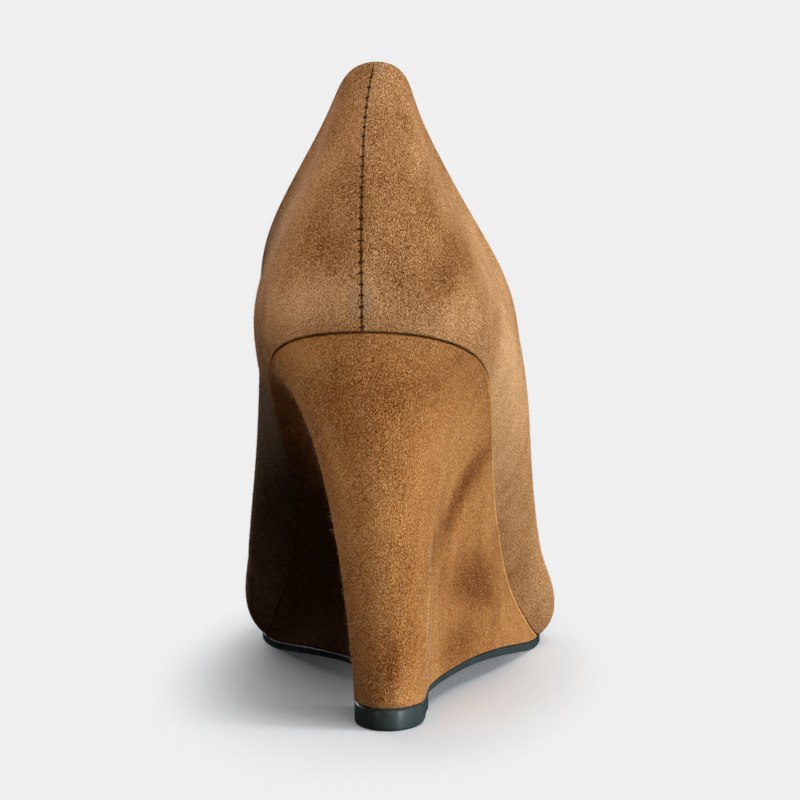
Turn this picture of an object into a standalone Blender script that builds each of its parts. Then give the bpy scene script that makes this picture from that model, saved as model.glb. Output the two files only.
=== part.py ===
"""Right-foot wedge pump, built as its maker builds it: an upper drawn over a last, an insole inside it,
a covered wedge heel under the foot, a thin outsole and a rubber top lift.

Metres, +Z up, the toe towards +Y and the outer (lateral) side towards +X.
The last's own measures below are in millimetres, taken from the foot of the back seam.
"""

import math
from collections import namedtuple

import bmesh
import bpy
import numpy as np

MM = 0.001

# Driving sizes, in millimetres
HEEL_HEIGHT = 90.5      # floor to the wedge's top edge at the back seam
BACK_HEIGHT = 60.0      # wedge's top edge to the topline, up the back seam
WALL = 1.6              # suede, stiffener and lining of the upper together
GAP = 0.3               # clearance between pieces that are cemented together
INSOLE_THICK = 2.6
LIFT_THICK = 5.0
SOLE_THICK = 2.2        # outsole at the ball
SOLE_THICK_BREAST = 1.3  # outsole skived thin where it meets the top lift

# Side profile of the foot's bottom, in millimetres along the shoe and as slopes
SEAT_SLOPE = 0.30       # fall of the heel seat
SEAT_END = 38.5
BALL_START = 148.0      # the shank meets the tread here
TREAD_END = 184.0       # the toe begins to lift here
TOE_SPRING = 0.20
WEDGE_FRONT = 149.0     # the wedge runs out to a thin edge here
BREAST = 41.0           # front of the top lift, and back end of the outsole
ARCH_START, ARCH_SLOPE = 141.0, 0.105
ARCH_END, ARCH_TURN = 95.0, 0.125
BEND_SEAT, BEND_BALL, BEND_TOE, BEND_ARCH = 14.0, 7.0, 18.0, 20.0
SHANK_SLOPE = (HEEL_HEIGHT - SOLE_THICK - GAP - SEAT_SLOPE * SEAT_END) / (BALL_START - SEAT_END)

# Mesh divisions
ALONG_UPPER = 47
UP_UPPER = 9
ALONG_WEDGE = 30
UP_WEDGE = 10
ALONG_SHANK, ALONG_TOE = 18, 26
ALONG_LIFT = 14

# The last, a row for each line from the feather edge up to the topline, round from the back seam.
# Leans are degrees from upright, outwards at the feather edge and inwards at the topline.
# Pulls are how far each lean is kept, in millimetres.
LastRow = namedtuple(
    "LastRow",
    "place feather_x feather_y top_x top_y top_z low_lean low_pull top_lean top_pull",
)
LAST = [
    LastRow("back_seam", 0.0, 0.0, 2.5, 12.0, HEEL_HEIGHT + BACK_HEIGHT, 22, 24, 18, 20),
    LastRow("heel_corner_outer", 14.5, 4.2, 9.3, 16.8, 147.3, 24, 22, 13, 18),
    LastRow("heel_turn_outer", 21.5, 12.5, 12.4, 25.0, 138.8, 25, 21, 9, 17),
    LastRow("heel_outer", 25.5, 23.0, 18.9, 38.5, 125.3, 26, 20, 6, 16),
    LastRow("seat_outer", 28.0, 40.0, 26.6, 53.0, 111.5, 29, 19, 5, 14),
    LastRow("waist_outer", 28.7, 76.0, 34.4, 78.0, 91.8, 42, 20, 4, 13),
    LastRow("shank_outer", 30.5, 106.0, 35.0, 102.0, 73.5, 43, 19, 10, 14),
    LastRow("ball_outer", 34.7, 131.0, 31.0, 121.0, 60.8, 44, 18, 26, 16),
    LastRow("joint_outer", 40.4, WEDGE_FRONT, 23.0, 135.5, 53.0, 50, 16, 45, 18),
    LastRow("vamp_outer", 39.8, 176.0, 14.5, 144.5, 49.4, 48, 14, 58, 22),
    LastRow("toe_outer", 21.5, 209.0, 7.0, 148.6, 47.8, 36, 12, 64, 32),
    LastRow("toe_tip", 1.0, 228.0, 1.0, 149.8, 47.3, 30, 12, 66, 38),
    LastRow("toe_inner", -18.5, 209.0, -5.0, 148.6, 47.8, 36, 12, 64, 32),
    LastRow("vamp_inner", -34.0, 175.0, -12.5, 144.5, 49.6, 46, 14, 58, 22),
    LastRow("joint_inner", -32.0, WEDGE_FRONT, -20.5, 135.5, 53.6, 50, 16, 45, 18),
    LastRow("ball_inner", -27.0, 131.0, -27.0, 121.0, 62.0, 46, 18, 26, 16),
    LastRow("shank_inner", -21.5, 106.0, -29.5, 102.0, 75.5, 38, 16, 10, 14),
    LastRow("waist_inner", -20.5, 76.0, -28.0, 78.0, 94.0, 33, 16, 3, 13),
    LastRow("seat_inner", -23.0, 40.0, -24.2, 53.0, 112.5, 28, 17, 4, 14),
    LastRow("heel_inner", -21.5, 23.0, -17.0, 38.5, 125.8, 26, 19, 6, 16),
    LastRow("heel_turn_inner", -18.7, 12.5, -9.2, 25.0, 138.8, 25, 20, 9, 17),
    LastRow("heel_corner_inner", -12.8, 4.2, -4.6, 16.8, 147.3, 24, 22, 13, 18),
]

# The wedge, a row for each line that runs from its tread edge up to the feather edge at the same place.
# foot_lean and foot_pull set how it leaves the tread, flare and flare_pull how it opens to the foot.
WedgeRow = namedtuple("WedgeRow", "place tread_x tread_y foot_lean foot_pull flare flare_pull")
WEDGE = [
    WedgeRow("joint_inner", -31.6, WEDGE_FRONT, 2, 0.2, 2, 0.2),
    WedgeRow("ball_inner", -25.6, 131.0, 3, 3, 6, 3),
    WedgeRow("shank_inner", -17.0, 106.0, 4, 8, 40, 10),
    WedgeRow("waist_inner", -4.5, 78.0, 2, 16, 60, 18),
    WedgeRow("seat_inner", -2.6, BREAST, 2, 36, 70, 26),
    WedgeRow("heel_inner", -2.9, 28.0, 1, 42, 36, 14),
    WedgeRow("heel_turn_inner", -2.0, 19.0, 5, 33, 38, 17),
    WedgeRow("heel_corner_inner", 1.2, 12.6, 4, 32, 30, 20),
    WedgeRow("back_seam", 5.2, 10.5, 2, 34, 16, 20),
    WedgeRow("heel_corner_outer", 9.3, 12.6, 4, 32, 28, 20),
    WedgeRow("heel_turn_outer", 12.4, 19.0, 5, 31, 38, 20),
    WedgeRow("heel_outer", 13.4, 28.0, 5, 30, 40, 20),
    WedgeRow("seat_outer", 13.8, BREAST, 5, 26, 38, 19),
    WedgeRow("waist_outer", 22.3, 78.0, 3, 14, 14, 14),
    WedgeRow("shank_outer", 31.0, 106.0, 2, 8, 4, 8),
    WedgeRow("ball_outer", 36.8, 131.0, 2, 3, 2, 3),
    WedgeRow("joint_outer", 40.6, WEDGE_FRONT, 2, 0.2, 2, 0.2),
]

# Origin of the part: the middle of the top lift's tread, in the last's measures
ORIGIN = (5.2, 26.0)

SHARP_EDGE = math.radians(40)
SUEDE_BROWN = (0.40, 0.22, 0.09)
LIFT_GREEN_BLACK = (0.030, 0.040, 0.040)
INSOLE_TAN = (0.46, 0.31, 0.17)


def bend(distance, half_length):
    """0 before a bend, the distance itself after it, and a parabola of that half length between them."""
    d = np.asarray(distance, float)
    inside = (d + half_length) ** 2 / (4 * half_length)
    return np.where(d < -half_length, 0.0, np.where(d > half_length, d, inside))


def curve(knots, values, at):
    """Natural cubic spline through the rows of values, read at the given places."""
    k, v = np.asarray(knots, float), np.asarray(values, float)
    h = np.diff(k)
    system, right = np.eye(len(k)), np.zeros_like(v)
    for i in range(1, len(k) - 1):
        system[i, i - 1 : i + 2] = h[i - 1], 2 * (h[i - 1] + h[i]), h[i]
        right[i] = 6 * ((v[i + 1] - v[i]) / h[i] - (v[i] - v[i - 1]) / h[i - 1])
    m = np.linalg.solve(system, right)
    at = np.asarray(at, float)
    i = np.clip(np.searchsorted(k, at) - 1, 0, len(k) - 2)
    a, b = ((k[i + 1] - at) / h[i])[:, None], ((at - k[i]) / h[i])[:, None]
    bow = ((a**3 - a) * m[i] + (b**3 - b) * m[i + 1]) * (h[i] ** 2)[:, None] / 6
    return a * v[i] + b * v[i + 1] + bow


def bezier(p0, p1, p2, p3, steps):
    """Points along cubic curves, one curve for each row of the four arrays of control points."""
    t = np.linspace(0, 1, steps + 1)[None, :, None]
    s = 1 - t
    p0, p1, p2, p3 = (p[:, None, :] for p in (p0, p1, p2, p3))
    return s**3 * p0 + 3 * s**2 * t * p1 + 3 * s * t**2 * p2 + t**3 * p3


def feather_height(y):
    """Height of the foot's bottom edge above the floor: seat, shank, tread and toe spring."""
    shank = SHANK_SLOPE * bend(BALL_START - y, BEND_BALL)
    seat = (SHANK_SLOPE - SEAT_SLOPE) * bend(SEAT_END - y, BEND_SEAT)
    toe = TOE_SPRING * bend(y - TREAD_END, BEND_TOE)
    return SOLE_THICK + GAP + shank - seat + toe


def sole_bottom(y):
    """Height of the outsole's underside: arch, flat tread and toe spring."""
    arch = ARCH_SLOPE * bend(ARCH_START - y, BEND_BALL) - ARCH_TURN * bend(ARCH_END - y, BEND_ARCH)
    return arch + TOE_SPRING * bend(y - TREAD_END, BEND_TOE)


def sole_top(y):
    """Height of the outsole's upper face: under the wedge, and under the foot in front of it."""
    share = np.clip((y - BREAST) / (ARCH_START - BREAST), 0, 1)
    thick = SOLE_THICK_BREAST + (SOLE_THICK - SOLE_THICK_BREAST) * share
    return np.where(y < WEDGE_FRONT + 1.5 * GAP, sole_bottom(y) + thick, feather_height(y) - GAP)


def wedge_bottom(y):
    """Height of the wedge's underside: level over the top lift, then lying on the outsole."""
    return np.where(y < BREAST + GAP, LIFT_THICK + GAP, sole_top(y) + GAP)


def last_knots():
    """Place of each row of the last along the feather edge, and the length of the whole way round."""
    feather = np.array([(r.feather_x, r.feather_y) for r in LAST])
    steps = np.linalg.norm(np.roll(feather, -1, axis=0) - feather, axis=1)
    knots = np.concatenate([[0.0], np.cumsum(steps)[:-1]])
    return knots, steps.sum()


def closed_curve(knots, length, values, at):
    """The same spline through rows that come round to the first again."""
    k, v = np.asarray(knots, float), np.asarray(values, float)
    wrap = 4
    k = np.concatenate([k[-wrap:] - length, k, k[:wrap] + length])
    v = np.concatenate([v[-wrap:], v, v[:wrap]])
    return curve(k, v, np.mod(at, length))


def last_columns(at):
    """Every column of the last's table, read smoothly at places along the closed feather edge."""
    return closed_curve(*last_knots(), [row[1:] for row in LAST], at)


def outward(at):
    """Level unit normals of the feather edge, pointing away from the foot."""
    small = 0.05
    before, after = last_columns(at - small)[:, :2], last_columns(at + small)[:, :2]
    along = (after - before) / np.linalg.norm(after - before, axis=1)[:, None]
    return np.column_stack([along[:, 1], -along[:, 0]]) * turn_of_last()


def turn_of_last():
    """1 if the table runs round the foot counter-clockwise seen from above, and -1 if clockwise."""
    x, y = np.array([(r.feather_x, r.feather_y) for r in LAST]).T
    return math.copysign(1.0, np.dot(x, np.roll(y, -1)) - np.dot(y, np.roll(x, -1)))


def leaning(normals, degrees, sign):
    """Unit directions that lean from upright, outwards for sign 1 and inwards for sign -1."""
    lean = np.radians(degrees)
    return np.column_stack([normals * (sign * np.sin(lean))[:, None], np.cos(lean)])


def feather_points(at):
    """The feather edge in three dimensions."""
    xy = last_columns(at)[:, :2]
    return np.column_stack([xy, feather_height(xy[:, 1])])


def upper_outside(at, steps):
    """Grid of points on the upper's outer face: rows along the feather edge, columns up the wall."""
    c = last_columns(at)
    normals = outward(at)
    foot, top = feather_points(at), c[:, 2:5]
    low = foot + leaning(normals, c[:, 5], 1) * c[:, 6:7]
    high = top - leaning(normals, c[:, 7], -1) * c[:, 8:9]
    return bezier(foot, low, high, top, steps)


def upper_inside(at, steps):
    """The same grid moved in by the wall's thickness; its lowest row stays on the foot's bottom."""
    outside, small = upper_outside(at, steps), 0.05
    across = upper_outside(at + small, steps) - upper_outside(at - small, steps)
    facing = np.cross(across, np.gradient(outside, axis=1))
    facing *= turn_of_last() / np.linalg.norm(facing, axis=2)[:, :, None]
    inside = outside - WALL * facing
    inside[:, 0, :2] = outside[:, 0, :2] - WALL * outward(at)
    inside[:, 0, 2] = feather_height(inside[:, 0, 1])
    return inside


def tread_points(at, height):
    """Outline of the wedge's and the sole's tread, at the heights of a profile along the shoe."""
    knots, length = last_knots()
    treads = {r.place: (r.tread_x, r.tread_y) for r in WEDGE}
    rows = [treads.get(r.place, (r.feather_x, r.feather_y)) for r in LAST]
    xy = closed_curve(knots, length, rows, at)
    return np.column_stack([xy, height(xy[:, 1])])


def place_of(name):
    """Place of a named row along the feather edge, negative on the inner side behind the toe tip."""
    knots, length = last_knots()
    names = [r.place for r in LAST]
    at = knots[names.index(name)]
    return at - length if names.index(name) > names.index("toe_tip") else at


def sides(outer_ends, inner_ends, count, crowd=0.0):
    """Places along the outer and the inner side between their ends, crowded towards both ends."""
    share = np.linspace(0, 1, count)
    share = share - crowd * np.sin(2 * math.pi * share) / (2 * math.pi)
    return [start + (end - start) * share for start, end in (outer_ends, inner_ends)]


def foot_sides():
    """Places along both sides of the foot, back seam to toe tip, shared by the upper and insole."""
    tip, length = place_of("toe_tip"), last_knots()[1]
    return sides((0, tip), (0, tip - length), ALONG_UPPER, crowd=0.4)


def object_from(name, points, faces, colour, roughness):
    """A named closed object with its own material, placed with the top lift's middle at the origin."""
    body = bmesh.new()
    corners = [body.verts.new(p) for p in np.asarray(points) * MM]
    for face in faces:
        body.faces.new([corners[i] for i in face])
    bmesh.ops.remove_doubles(body, verts=body.verts, dist=1e-6)
    bmesh.ops.triangulate(body, faces=body.faces)
    bmesh.ops.recalc_face_normals(body, faces=body.faces)
    mesh = bpy.data.meshes.new(name)
    body.to_mesh(mesh)
    body.free()
    mesh.shade_smooth()
    mesh.set_sharp_from_angle(angle=SHARP_EDGE)
    material = bpy.data.materials.new(name)
    material.use_nodes = True
    shader = material.node_tree.nodes["Principled BSDF"]
    shader.inputs["Base Color"].default_value = (*colour, 1.0)
    shader.inputs["Roughness"].default_value = roughness
    shader.inputs["Metallic"].default_value = 0.0
    mesh.materials.append(material)
    obj = bpy.data.objects.new(name, mesh)
    bpy.context.scene.collection.objects.link(obj)
    obj.location = (-ORIGIN[0] * MM, -ORIGIN[1] * MM, 0.0)
    return obj


def loft(name, rings, closed, colour, roughness):
    """A solid through a row of rings; an open row is closed at both ends by strips across the ring."""
    rows, wide = rings.shape[:2]
    index = np.arange(rows * wide).reshape(rows, wide)
    faces = []
    for i in range(rows if closed else rows - 1):
        here, there = index[i], index[(i + 1) % rows]
        for j in range(wide):
            k = (j + 1) % wide
            faces.append((here[j], there[j], there[k], here[k]))
    if not closed:
        for end in (index[0], index[-1]):
            for j in range(wide // 2 - 1):
                faces.append((end[j], end[j + 1], end[wide - 2 - j], end[wide - 1 - j]))
    return object_from(name, rings.reshape(-1, 3), faces, colour, roughness)


def ring_rows(outer, inner):
    """Rings of a piece from its outer side, low to high, and its inner side, high to low."""
    return np.concatenate([outer, inner[:, ::-1]], axis=1)


def upper_walls(at):
    """Outer and inner face of the upper, as two grids of points."""
    return upper_outside(at, UP_UPPER), upper_inside(at, UP_UPPER)


def upper():
    """The upper: one hollow wall round the foot, open at the topline and underneath."""
    outer, inner = foot_sides()
    at = np.concatenate([outer, inner[-2:0:-1]])
    return loft("upper", ring_rows(*upper_walls(at)), True, SUEDE_BROWN, 0.95)


def insole():
    """The insole, lying inside the upper's foot with its edge leaning with the wall."""
    edges = []
    for at in foot_sides():
        wall, normals = upper_walls(at)[1], outward(at)
        share = INSOLE_THICK / (wall[:, 1, 2] - wall[:, 0, 2])
        low = wall[:, 0, :2] - GAP * normals
        high = low + (wall[:, 1, :2] - wall[:, 0, :2]) * share[:, None]
        low = np.column_stack([low, feather_height(low[:, 1])])
        high = np.column_stack([high, feather_height(high[:, 1]) + INSOLE_THICK])
        edges.append(np.stack([low, high], axis=1))
    return loft("insole", ring_rows(*edges), False, INSOLE_TAN, 0.6)


def wedge_side(at):
    """Grid of points on the wedge's side: rows along the feather edge, columns up from the tread."""
    names = [r.place for r in WEDGE]
    c = curve([place_of(n) for n in names], [row[3:] for row in WEDGE], at)
    normals = outward(at)
    foot, top = tread_points(at, wedge_bottom), feather_points(at) - (0, 0, GAP)
    low = foot + leaning(normals, c[:, 0], 1) * c[:, 1:2]
    high = top - leaning(normals, c[:, 2], 1) * c[:, 3:4]
    return bezier(foot, low, high, top, UP_WEDGE)


def wedge():
    """The covered wedge: heel and arch in one, running out to a thin edge at the ball."""
    ends = (0, place_of("joint_outer")), (0, place_of("joint_inner"))
    outer, inner = (wedge_side(at) for at in sides(*ends, ALONG_WEDGE))
    return loft("wedge", ring_rows(outer, inner), False, SUEDE_BROWN, 0.95)


def outsole():
    """The outsole: from the top lift to the toe, with a shallow step for the wedge's front edge."""
    tip, length = place_of("toe_tip"), last_knots()[1]
    breast = place_of("seat_outer") + GAP, place_of("seat_inner") - GAP
    joint = place_of("joint_outer"), place_of("joint_inner")
    shank = sides((breast[0], joint[0] + GAP), (breast[1], joint[1] - GAP), ALONG_SHANK)
    toe = sides((joint[0] + 2 * GAP, tip), (joint[1] - 2 * GAP, tip - length), ALONG_TOE)
    edges = []
    for back, front in zip(shank, toe):
        at = np.concatenate([back, front])
        edges.append(np.stack([tread_points(at, sole_bottom), tread_points(at, sole_top)], axis=1))
    return loft("outsole", ring_rows(*edges), False, LIFT_GREEN_BLACK, 0.5)


def top_lift():
    """The top lift under the heel, cut to the wedge's own tread and straight across the front."""
    ends = (0, place_of("seat_outer")), (0, place_of("seat_inner"))
    edges = []
    for at in sides(*ends, ALONG_LIFT):
        low, high = tread_points(at, lambda y: 0 * y), tread_points(at, lambda y: 0 * y + LIFT_THICK)
        edges.append(np.stack([low, high], axis=1))
    return loft("top_lift", ring_rows(*edges), False, LIFT_GREEN_BLACK, 0.5)


def main():
    for old in list(bpy.data.objects):
        bpy.data.objects.remove(old)
    upper()
    insole()
    wedge()
    outsole()
    top_lift()


if __name__ == "__main__":
    main()
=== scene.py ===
"""Looks of a right-foot wedge pump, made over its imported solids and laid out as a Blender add-on.

The last's measures are in millimetres from the foot of the back seam, +X to the outer side and +Y to the
toe, as in the part's source. The pieces themselves are in metres, in the part's frame.
"""

import math
from collections import namedtuple

import bmesh
import bpy
import numpy as np
from bpy.props import FloatProperty, FloatVectorProperty, IntProperty, PointerProperty
from mathutils import Matrix, Vector


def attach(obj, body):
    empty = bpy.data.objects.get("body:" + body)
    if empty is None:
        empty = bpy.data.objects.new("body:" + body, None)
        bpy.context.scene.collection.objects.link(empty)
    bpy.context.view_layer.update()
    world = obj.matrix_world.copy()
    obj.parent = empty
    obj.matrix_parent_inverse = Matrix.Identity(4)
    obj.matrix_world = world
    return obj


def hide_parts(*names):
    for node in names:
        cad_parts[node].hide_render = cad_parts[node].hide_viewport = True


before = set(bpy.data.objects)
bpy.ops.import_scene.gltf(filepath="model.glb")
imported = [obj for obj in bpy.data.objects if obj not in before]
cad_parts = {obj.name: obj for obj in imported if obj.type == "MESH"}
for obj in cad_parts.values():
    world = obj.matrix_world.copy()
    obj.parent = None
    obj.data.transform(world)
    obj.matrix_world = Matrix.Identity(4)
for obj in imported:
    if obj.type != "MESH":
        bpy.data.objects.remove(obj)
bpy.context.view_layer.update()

bl_info = {
    "name": "Wedge Pump Looks",
    "version": (1, 0, 0),
    "blender": (4, 5, 0),
    "location": "View3D > Sidebar > Pump",
    "description": "Suede, stitching, sole and stage of a wedge pump over its packed solids",
    "category": "Add Mesh",
}

MM = 0.001

# Sizes of the last, in millimetres, as the part's source has them
HEEL_HEIGHT = 90.5
BACK_HEIGHT = 60.0
GAP = 0.3
LIFT_THICK = 5.0
SOLE_THICK = 2.2
SOLE_THICK_BREAST = 1.3
INSOLE_THICK = 2.6
WALL = 1.6
SEAT_SLOPE = 0.30
SEAT_END = 38.5
BALL_START = 148.0
TREAD_END = 184.0
TOE_SPRING = 0.20
WEDGE_FRONT = 149.0
BREAST = 41.0
ARCH_START, ARCH_SLOPE = 141.0, 0.105
ARCH_END, ARCH_TURN = 95.0, 0.125
BEND_SEAT, BEND_BALL, BEND_TOE, BEND_ARCH = 14.0, 7.0, 18.0, 20.0
SHANK_SLOPE = (HEEL_HEIGHT - SOLE_THICK - GAP - SEAT_SLOPE * SEAT_END) / (BALL_START - SEAT_END)
ORIGIN = np.array([5.2, 26.0, 0.0])

# The last, a row for each line from the feather edge up to the topline, round from the back seam.
# Leans are degrees from upright, outwards at the feather edge and inwards at the topline.
# Pulls are how far each lean is kept, in millimetres.
LastRow = namedtuple(
    "LastRow",
    "place feather_x feather_y top_x top_y top_z low_lean low_pull top_lean top_pull",
)
LAST = [
    LastRow("back_seam", 0.0, 0.0, 2.5, 12.0, HEEL_HEIGHT + BACK_HEIGHT, 22, 24, 18, 20),
    LastRow("heel_corner_outer", 14.5, 4.2, 9.3, 16.8, 147.3, 24, 22, 13, 18),
    LastRow("heel_turn_outer", 21.5, 12.5, 12.4, 25.0, 138.8, 25, 21, 9, 17),
    LastRow("heel_outer", 25.5, 23.0, 18.9, 38.5, 125.3, 26, 20, 6, 16),
    LastRow("seat_outer", 28.0, 40.0, 26.6, 53.0, 111.5, 29, 19, 5, 14),
    LastRow("waist_outer", 28.7, 76.0, 34.4, 78.0, 91.8, 42, 20, 4, 13),
    LastRow("shank_outer", 30.5, 106.0, 35.0, 102.0, 73.5, 43, 19, 10, 14),
    LastRow("ball_outer", 34.7, 131.0, 31.0, 121.0, 60.8, 44, 18, 26, 16),
    LastRow("joint_outer", 40.4, WEDGE_FRONT, 23.0, 135.5, 53.0, 50, 16, 45, 18),
    LastRow("vamp_outer", 39.8, 176.0, 14.5, 144.5, 49.4, 48, 14, 58, 22),
    LastRow("toe_outer", 21.5, 209.0, 7.0, 148.6, 47.8, 36, 12, 64, 32),
    LastRow("toe_tip", 1.0, 228.0, 1.0, 149.8, 47.3, 30, 12, 66, 38),
    LastRow("toe_inner", -18.5, 209.0, -5.0, 148.6, 47.8, 36, 12, 64, 32),
    LastRow("vamp_inner", -34.0, 175.0, -12.5, 144.5, 49.6, 46, 14, 58, 22),
    LastRow("joint_inner", -32.0, WEDGE_FRONT, -20.5, 135.5, 53.6, 50, 16, 45, 18),
    LastRow("ball_inner", -27.0, 131.0, -27.0, 121.0, 62.0, 46, 18, 26, 16),
    LastRow("shank_inner", -21.5, 106.0, -29.5, 102.0, 75.5, 38, 16, 10, 14),
    LastRow("waist_inner", -20.5, 76.0, -28.0, 78.0, 94.0, 33, 16, 3, 13),
    LastRow("seat_inner", -23.0, 40.0, -24.2, 53.0, 112.5, 28, 17, 4, 14),
    LastRow("heel_inner", -21.5, 23.0, -17.0, 38.5, 125.8, 26, 19, 6, 16),
    LastRow("heel_turn_inner", -18.7, 12.5, -9.2, 25.0, 138.8, 25, 20, 9, 17),
    LastRow("heel_corner_inner", -12.8, 4.2, -4.6, 16.8, 147.3, 24, 22, 13, 18),
]

# The wedge, a row for each line that runs from its tread edge up to the feather edge at the same place.
# foot_lean and foot_pull set how it leaves the tread, flare and flare_pull how it opens to the foot.
WedgeRow = namedtuple("WedgeRow", "place tread_x tread_y foot_lean foot_pull flare flare_pull")
WEDGE = [
    WedgeRow("joint_inner", -31.6, WEDGE_FRONT, 2, 0.2, 2, 0.2),
    WedgeRow("ball_inner", -25.6, 131.0, 3, 3, 6, 3),
    WedgeRow("shank_inner", -17.0, 106.0, 4, 8, 40, 10),
    WedgeRow("waist_inner", -4.5, 78.0, 2, 16, 60, 18),
    WedgeRow("seat_inner", -2.6, BREAST, 2, 36, 70, 26),
    WedgeRow("heel_inner", -2.9, 28.0, 1, 42, 36, 14),
    WedgeRow("heel_turn_inner", -2.0, 19.0, 5, 33, 38, 17),
    WedgeRow("heel_corner_inner", 1.2, 12.6, 4, 32, 30, 20),
    WedgeRow("back_seam", 5.2, 10.5, 2, 34, 16, 20),
    WedgeRow("heel_corner_outer", 9.3, 12.6, 4, 32, 28, 20),
    WedgeRow("heel_turn_outer", 12.4, 19.0, 5, 31, 38, 20),
    WedgeRow("heel_outer", 13.4, 28.0, 5, 30, 40, 20),
    WedgeRow("seat_outer", 13.8, BREAST, 5, 26, 38, 19),
    WedgeRow("waist_outer", 22.3, 78.0, 3, 14, 14, 14),
    WedgeRow("shank_outer", 31.0, 106.0, 2, 8, 4, 8),
    WedgeRow("ball_outer", 36.8, 131.0, 2, 3, 2, 3),
    WedgeRow("joint_outer", 40.6, WEDGE_FRONT, 2, 0.2, 2, 0.2),
]

# Creases and soft dents of the suede, placed one by one. at is the way along the feather edge from the back
# seam, positive on the outer side, and height is above the floor; both with the spot's half sizes in
# millimetres. turn is in degrees up from level. A crease's amount is in millimetres, below 0 into the shoe.
Spot = namedtuple("Spot", "place piece at height long wide turn amount")
CREASES = [
    Spot("counter's edge, outer", "upper", 58, 96, 16, 2.6, -38, -0.28),
    Spot("counter's edge, inner", "upper", -58, 98, 16, 2.6, 38, -0.28),
    Spot("dent beside the seam", "upper", -12, 100, 7, 9, 0, -0.35),
    Spot("pull under the topline, outer", "upper", 40, 112, 14, 3.0, -34, 0.22),
    Spot("pull under the topline, inner", "upper", -38, 113, 14, 3.0, 34, 0.25),
    Spot("waist fold, outer", "upper", 88, 66, 9, 1.8, 62, -0.30),
    Spot("waist fold beside it", "upper", 96, 60, 8, 1.6, 58, 0.22),
    Spot("waist fold, inner", "upper", -92, 62, 10, 2.0, -58, -0.30),
    Spot("ball fold, outer", "upper", 150, 22, 10, 2.2, 48, -0.30),
    Spot("ball fold, inner", "upper", -152, 22, 10, 2.2, -48, -0.30),
    Spot("tread break, outer", "upper", 172, 26, 13, 2.4, 74, -0.45),
    Spot("tread break beside it", "upper", 180, 27, 12, 2.4, 74, 0.25),
    Spot("tread break, inner", "upper", -176, 26, 13, 2.4, -74, -0.45),
    Spot("cover's stretch mark", "wedge", 63, 49, 20, 5.0, 38, -0.22),
    Spot("ridge over the mark", "wedge", 50, 57, 20, 5.0, 38, 0.18),
    Spot("back corner fold", "wedge", 29, 26, 22, 2.0, 88, 0.20),
    Spot("back corner fold beside it", "wedge", 35, 22, 19, 2.0, 84, -0.20),
    Spot("back corner fold, third", "wedge", 41, 17, 14, 2.0, 80, 0.20),
    Spot("lift pull, outer", "wedge", 20, 14, 9, 1.6, 70, 0.16),
    Spot("inner pull", "wedge", -30, 40, 22, 2.6, 86, 0.20),
]

# Strokes of the nap: an amount above 0 is brushed towards the light, and one below 0 away from it. A few
# pale strokes, marked below, are painted light.
STROKES = [
    Spot("outer quarter, dark", "upper", 12, 121, 11, 9, 40, -0.60),
    Spot("outer quarter, high", "upper", 9, 136, 7, 7, 60, -0.60),
    Spot("outer quarter, low", "upper", 19, 105, 12, 6, 30, -0.95),
    Spot("outer quarter, pale foot", "upper", 12, 96, 12, 4, 0, 0.20),
    Spot("inner quarter, pale", "upper", -22, 118, 14, 7, 55, 0.25),
    Spot("inner quarter, middle", "upper", -9, 112, 7, 8, 90, -0.50),
    Spot("inner quarter, pale foot", "upper", -14, 97, 12, 6, 10, 1.25),
    Spot("inner quarter, high", "upper", -9, 136, 6, 7, 60, -0.35),
    Spot("tip", "upper", -6, 145, 6, 6, 0, 0.20),
    Spot("outer edge, pale", "upper", 44, 104, 28, 9, -40, 0.70),
    # partly painted light: the outer side drawn paler to match how brightly it is lit, partly the nap
    Spot("outer shank, pale", "upper", 108, 46, 22, 9, -40, 0.25),
    Spot("outer waist, pale", "upper", 72, 74, 26, 12, -40, 1.25),
    Spot("outer ball, dark", "upper", 136, 26, 10, 6, 60, -0.25),
    Spot("outer ball, pale", "upper", 155, 12, 12, 7, 40, 0.35),
    Spot("inner edge, pale", "upper", -40, 104, 22, 7, 40, 0.45),
    Spot("wedge, dark band under the foot", "wedge", 12, 76, 24, 6, 0, -0.55),
    Spot("wedge, pale lip", "wedge", -12, 85, 17, 5, 0, 0.70),
    Spot("wedge, dark by the seam", "wedge", 2, 84, 9, 5, 0, -0.45),
    Spot("wedge, middle", "wedge", 0, 58, 9, 12, 20, 0.20),
    # painted light: the wedge's low middle drawn paler
    Spot("wedge, low middle", "wedge", -5, 30, 12, 8, 90, 0.75),
    Spot("wedge, pale band", "wedge", 48, 57, 18, 4.5, 38, 0.25),
    Spot("wedge, dark stroke", "wedge", 68, 51.5, 14, 4.6, 46, -1.75),
    Spot("wedge, dark stroke's foot", "wedge", 46, 40, 16, 4.4, 18, -0.75),
    Spot("wedge, dark patch", "wedge", 93, 25.5, 24, 6.5, -8, -1.75),
    Spot("wedge, dark flank foot", "wedge", 82, 12, 17, 5.5, 0, -1.20),
    Spot("wedge, pale corner", "wedge", 30, 22, 20, 4.0, 90, 0.20),
    Spot("wedge, pale corner's edge", "wedge", 42, 14, 10, 3.0, 80, 0.40),
    Spot("wedge, dark low back", "wedge", 4, 16, 7, 9, 90, -1.20),
    Spot("wedge, inner edge", "wedge", -16, 45, 34, 4.0, 90, 0.25),
]

# Grey rubs on the suede, from wear: the amount is the share of grey
RUBS = [
    Spot("rub at the seam's foot", "upper", 1.2, 97.5, 0.9, 3.0, 0, 0.42),
    Spot("rub at the seam's foot, inner", "upper", -1.5, 97, 0.7, 3.2, 0, 0.34),
    Spot("rub at the topline", "upper", 1.4, 148.6, 1.2, 1.1, 0, 0.55),
]

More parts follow.
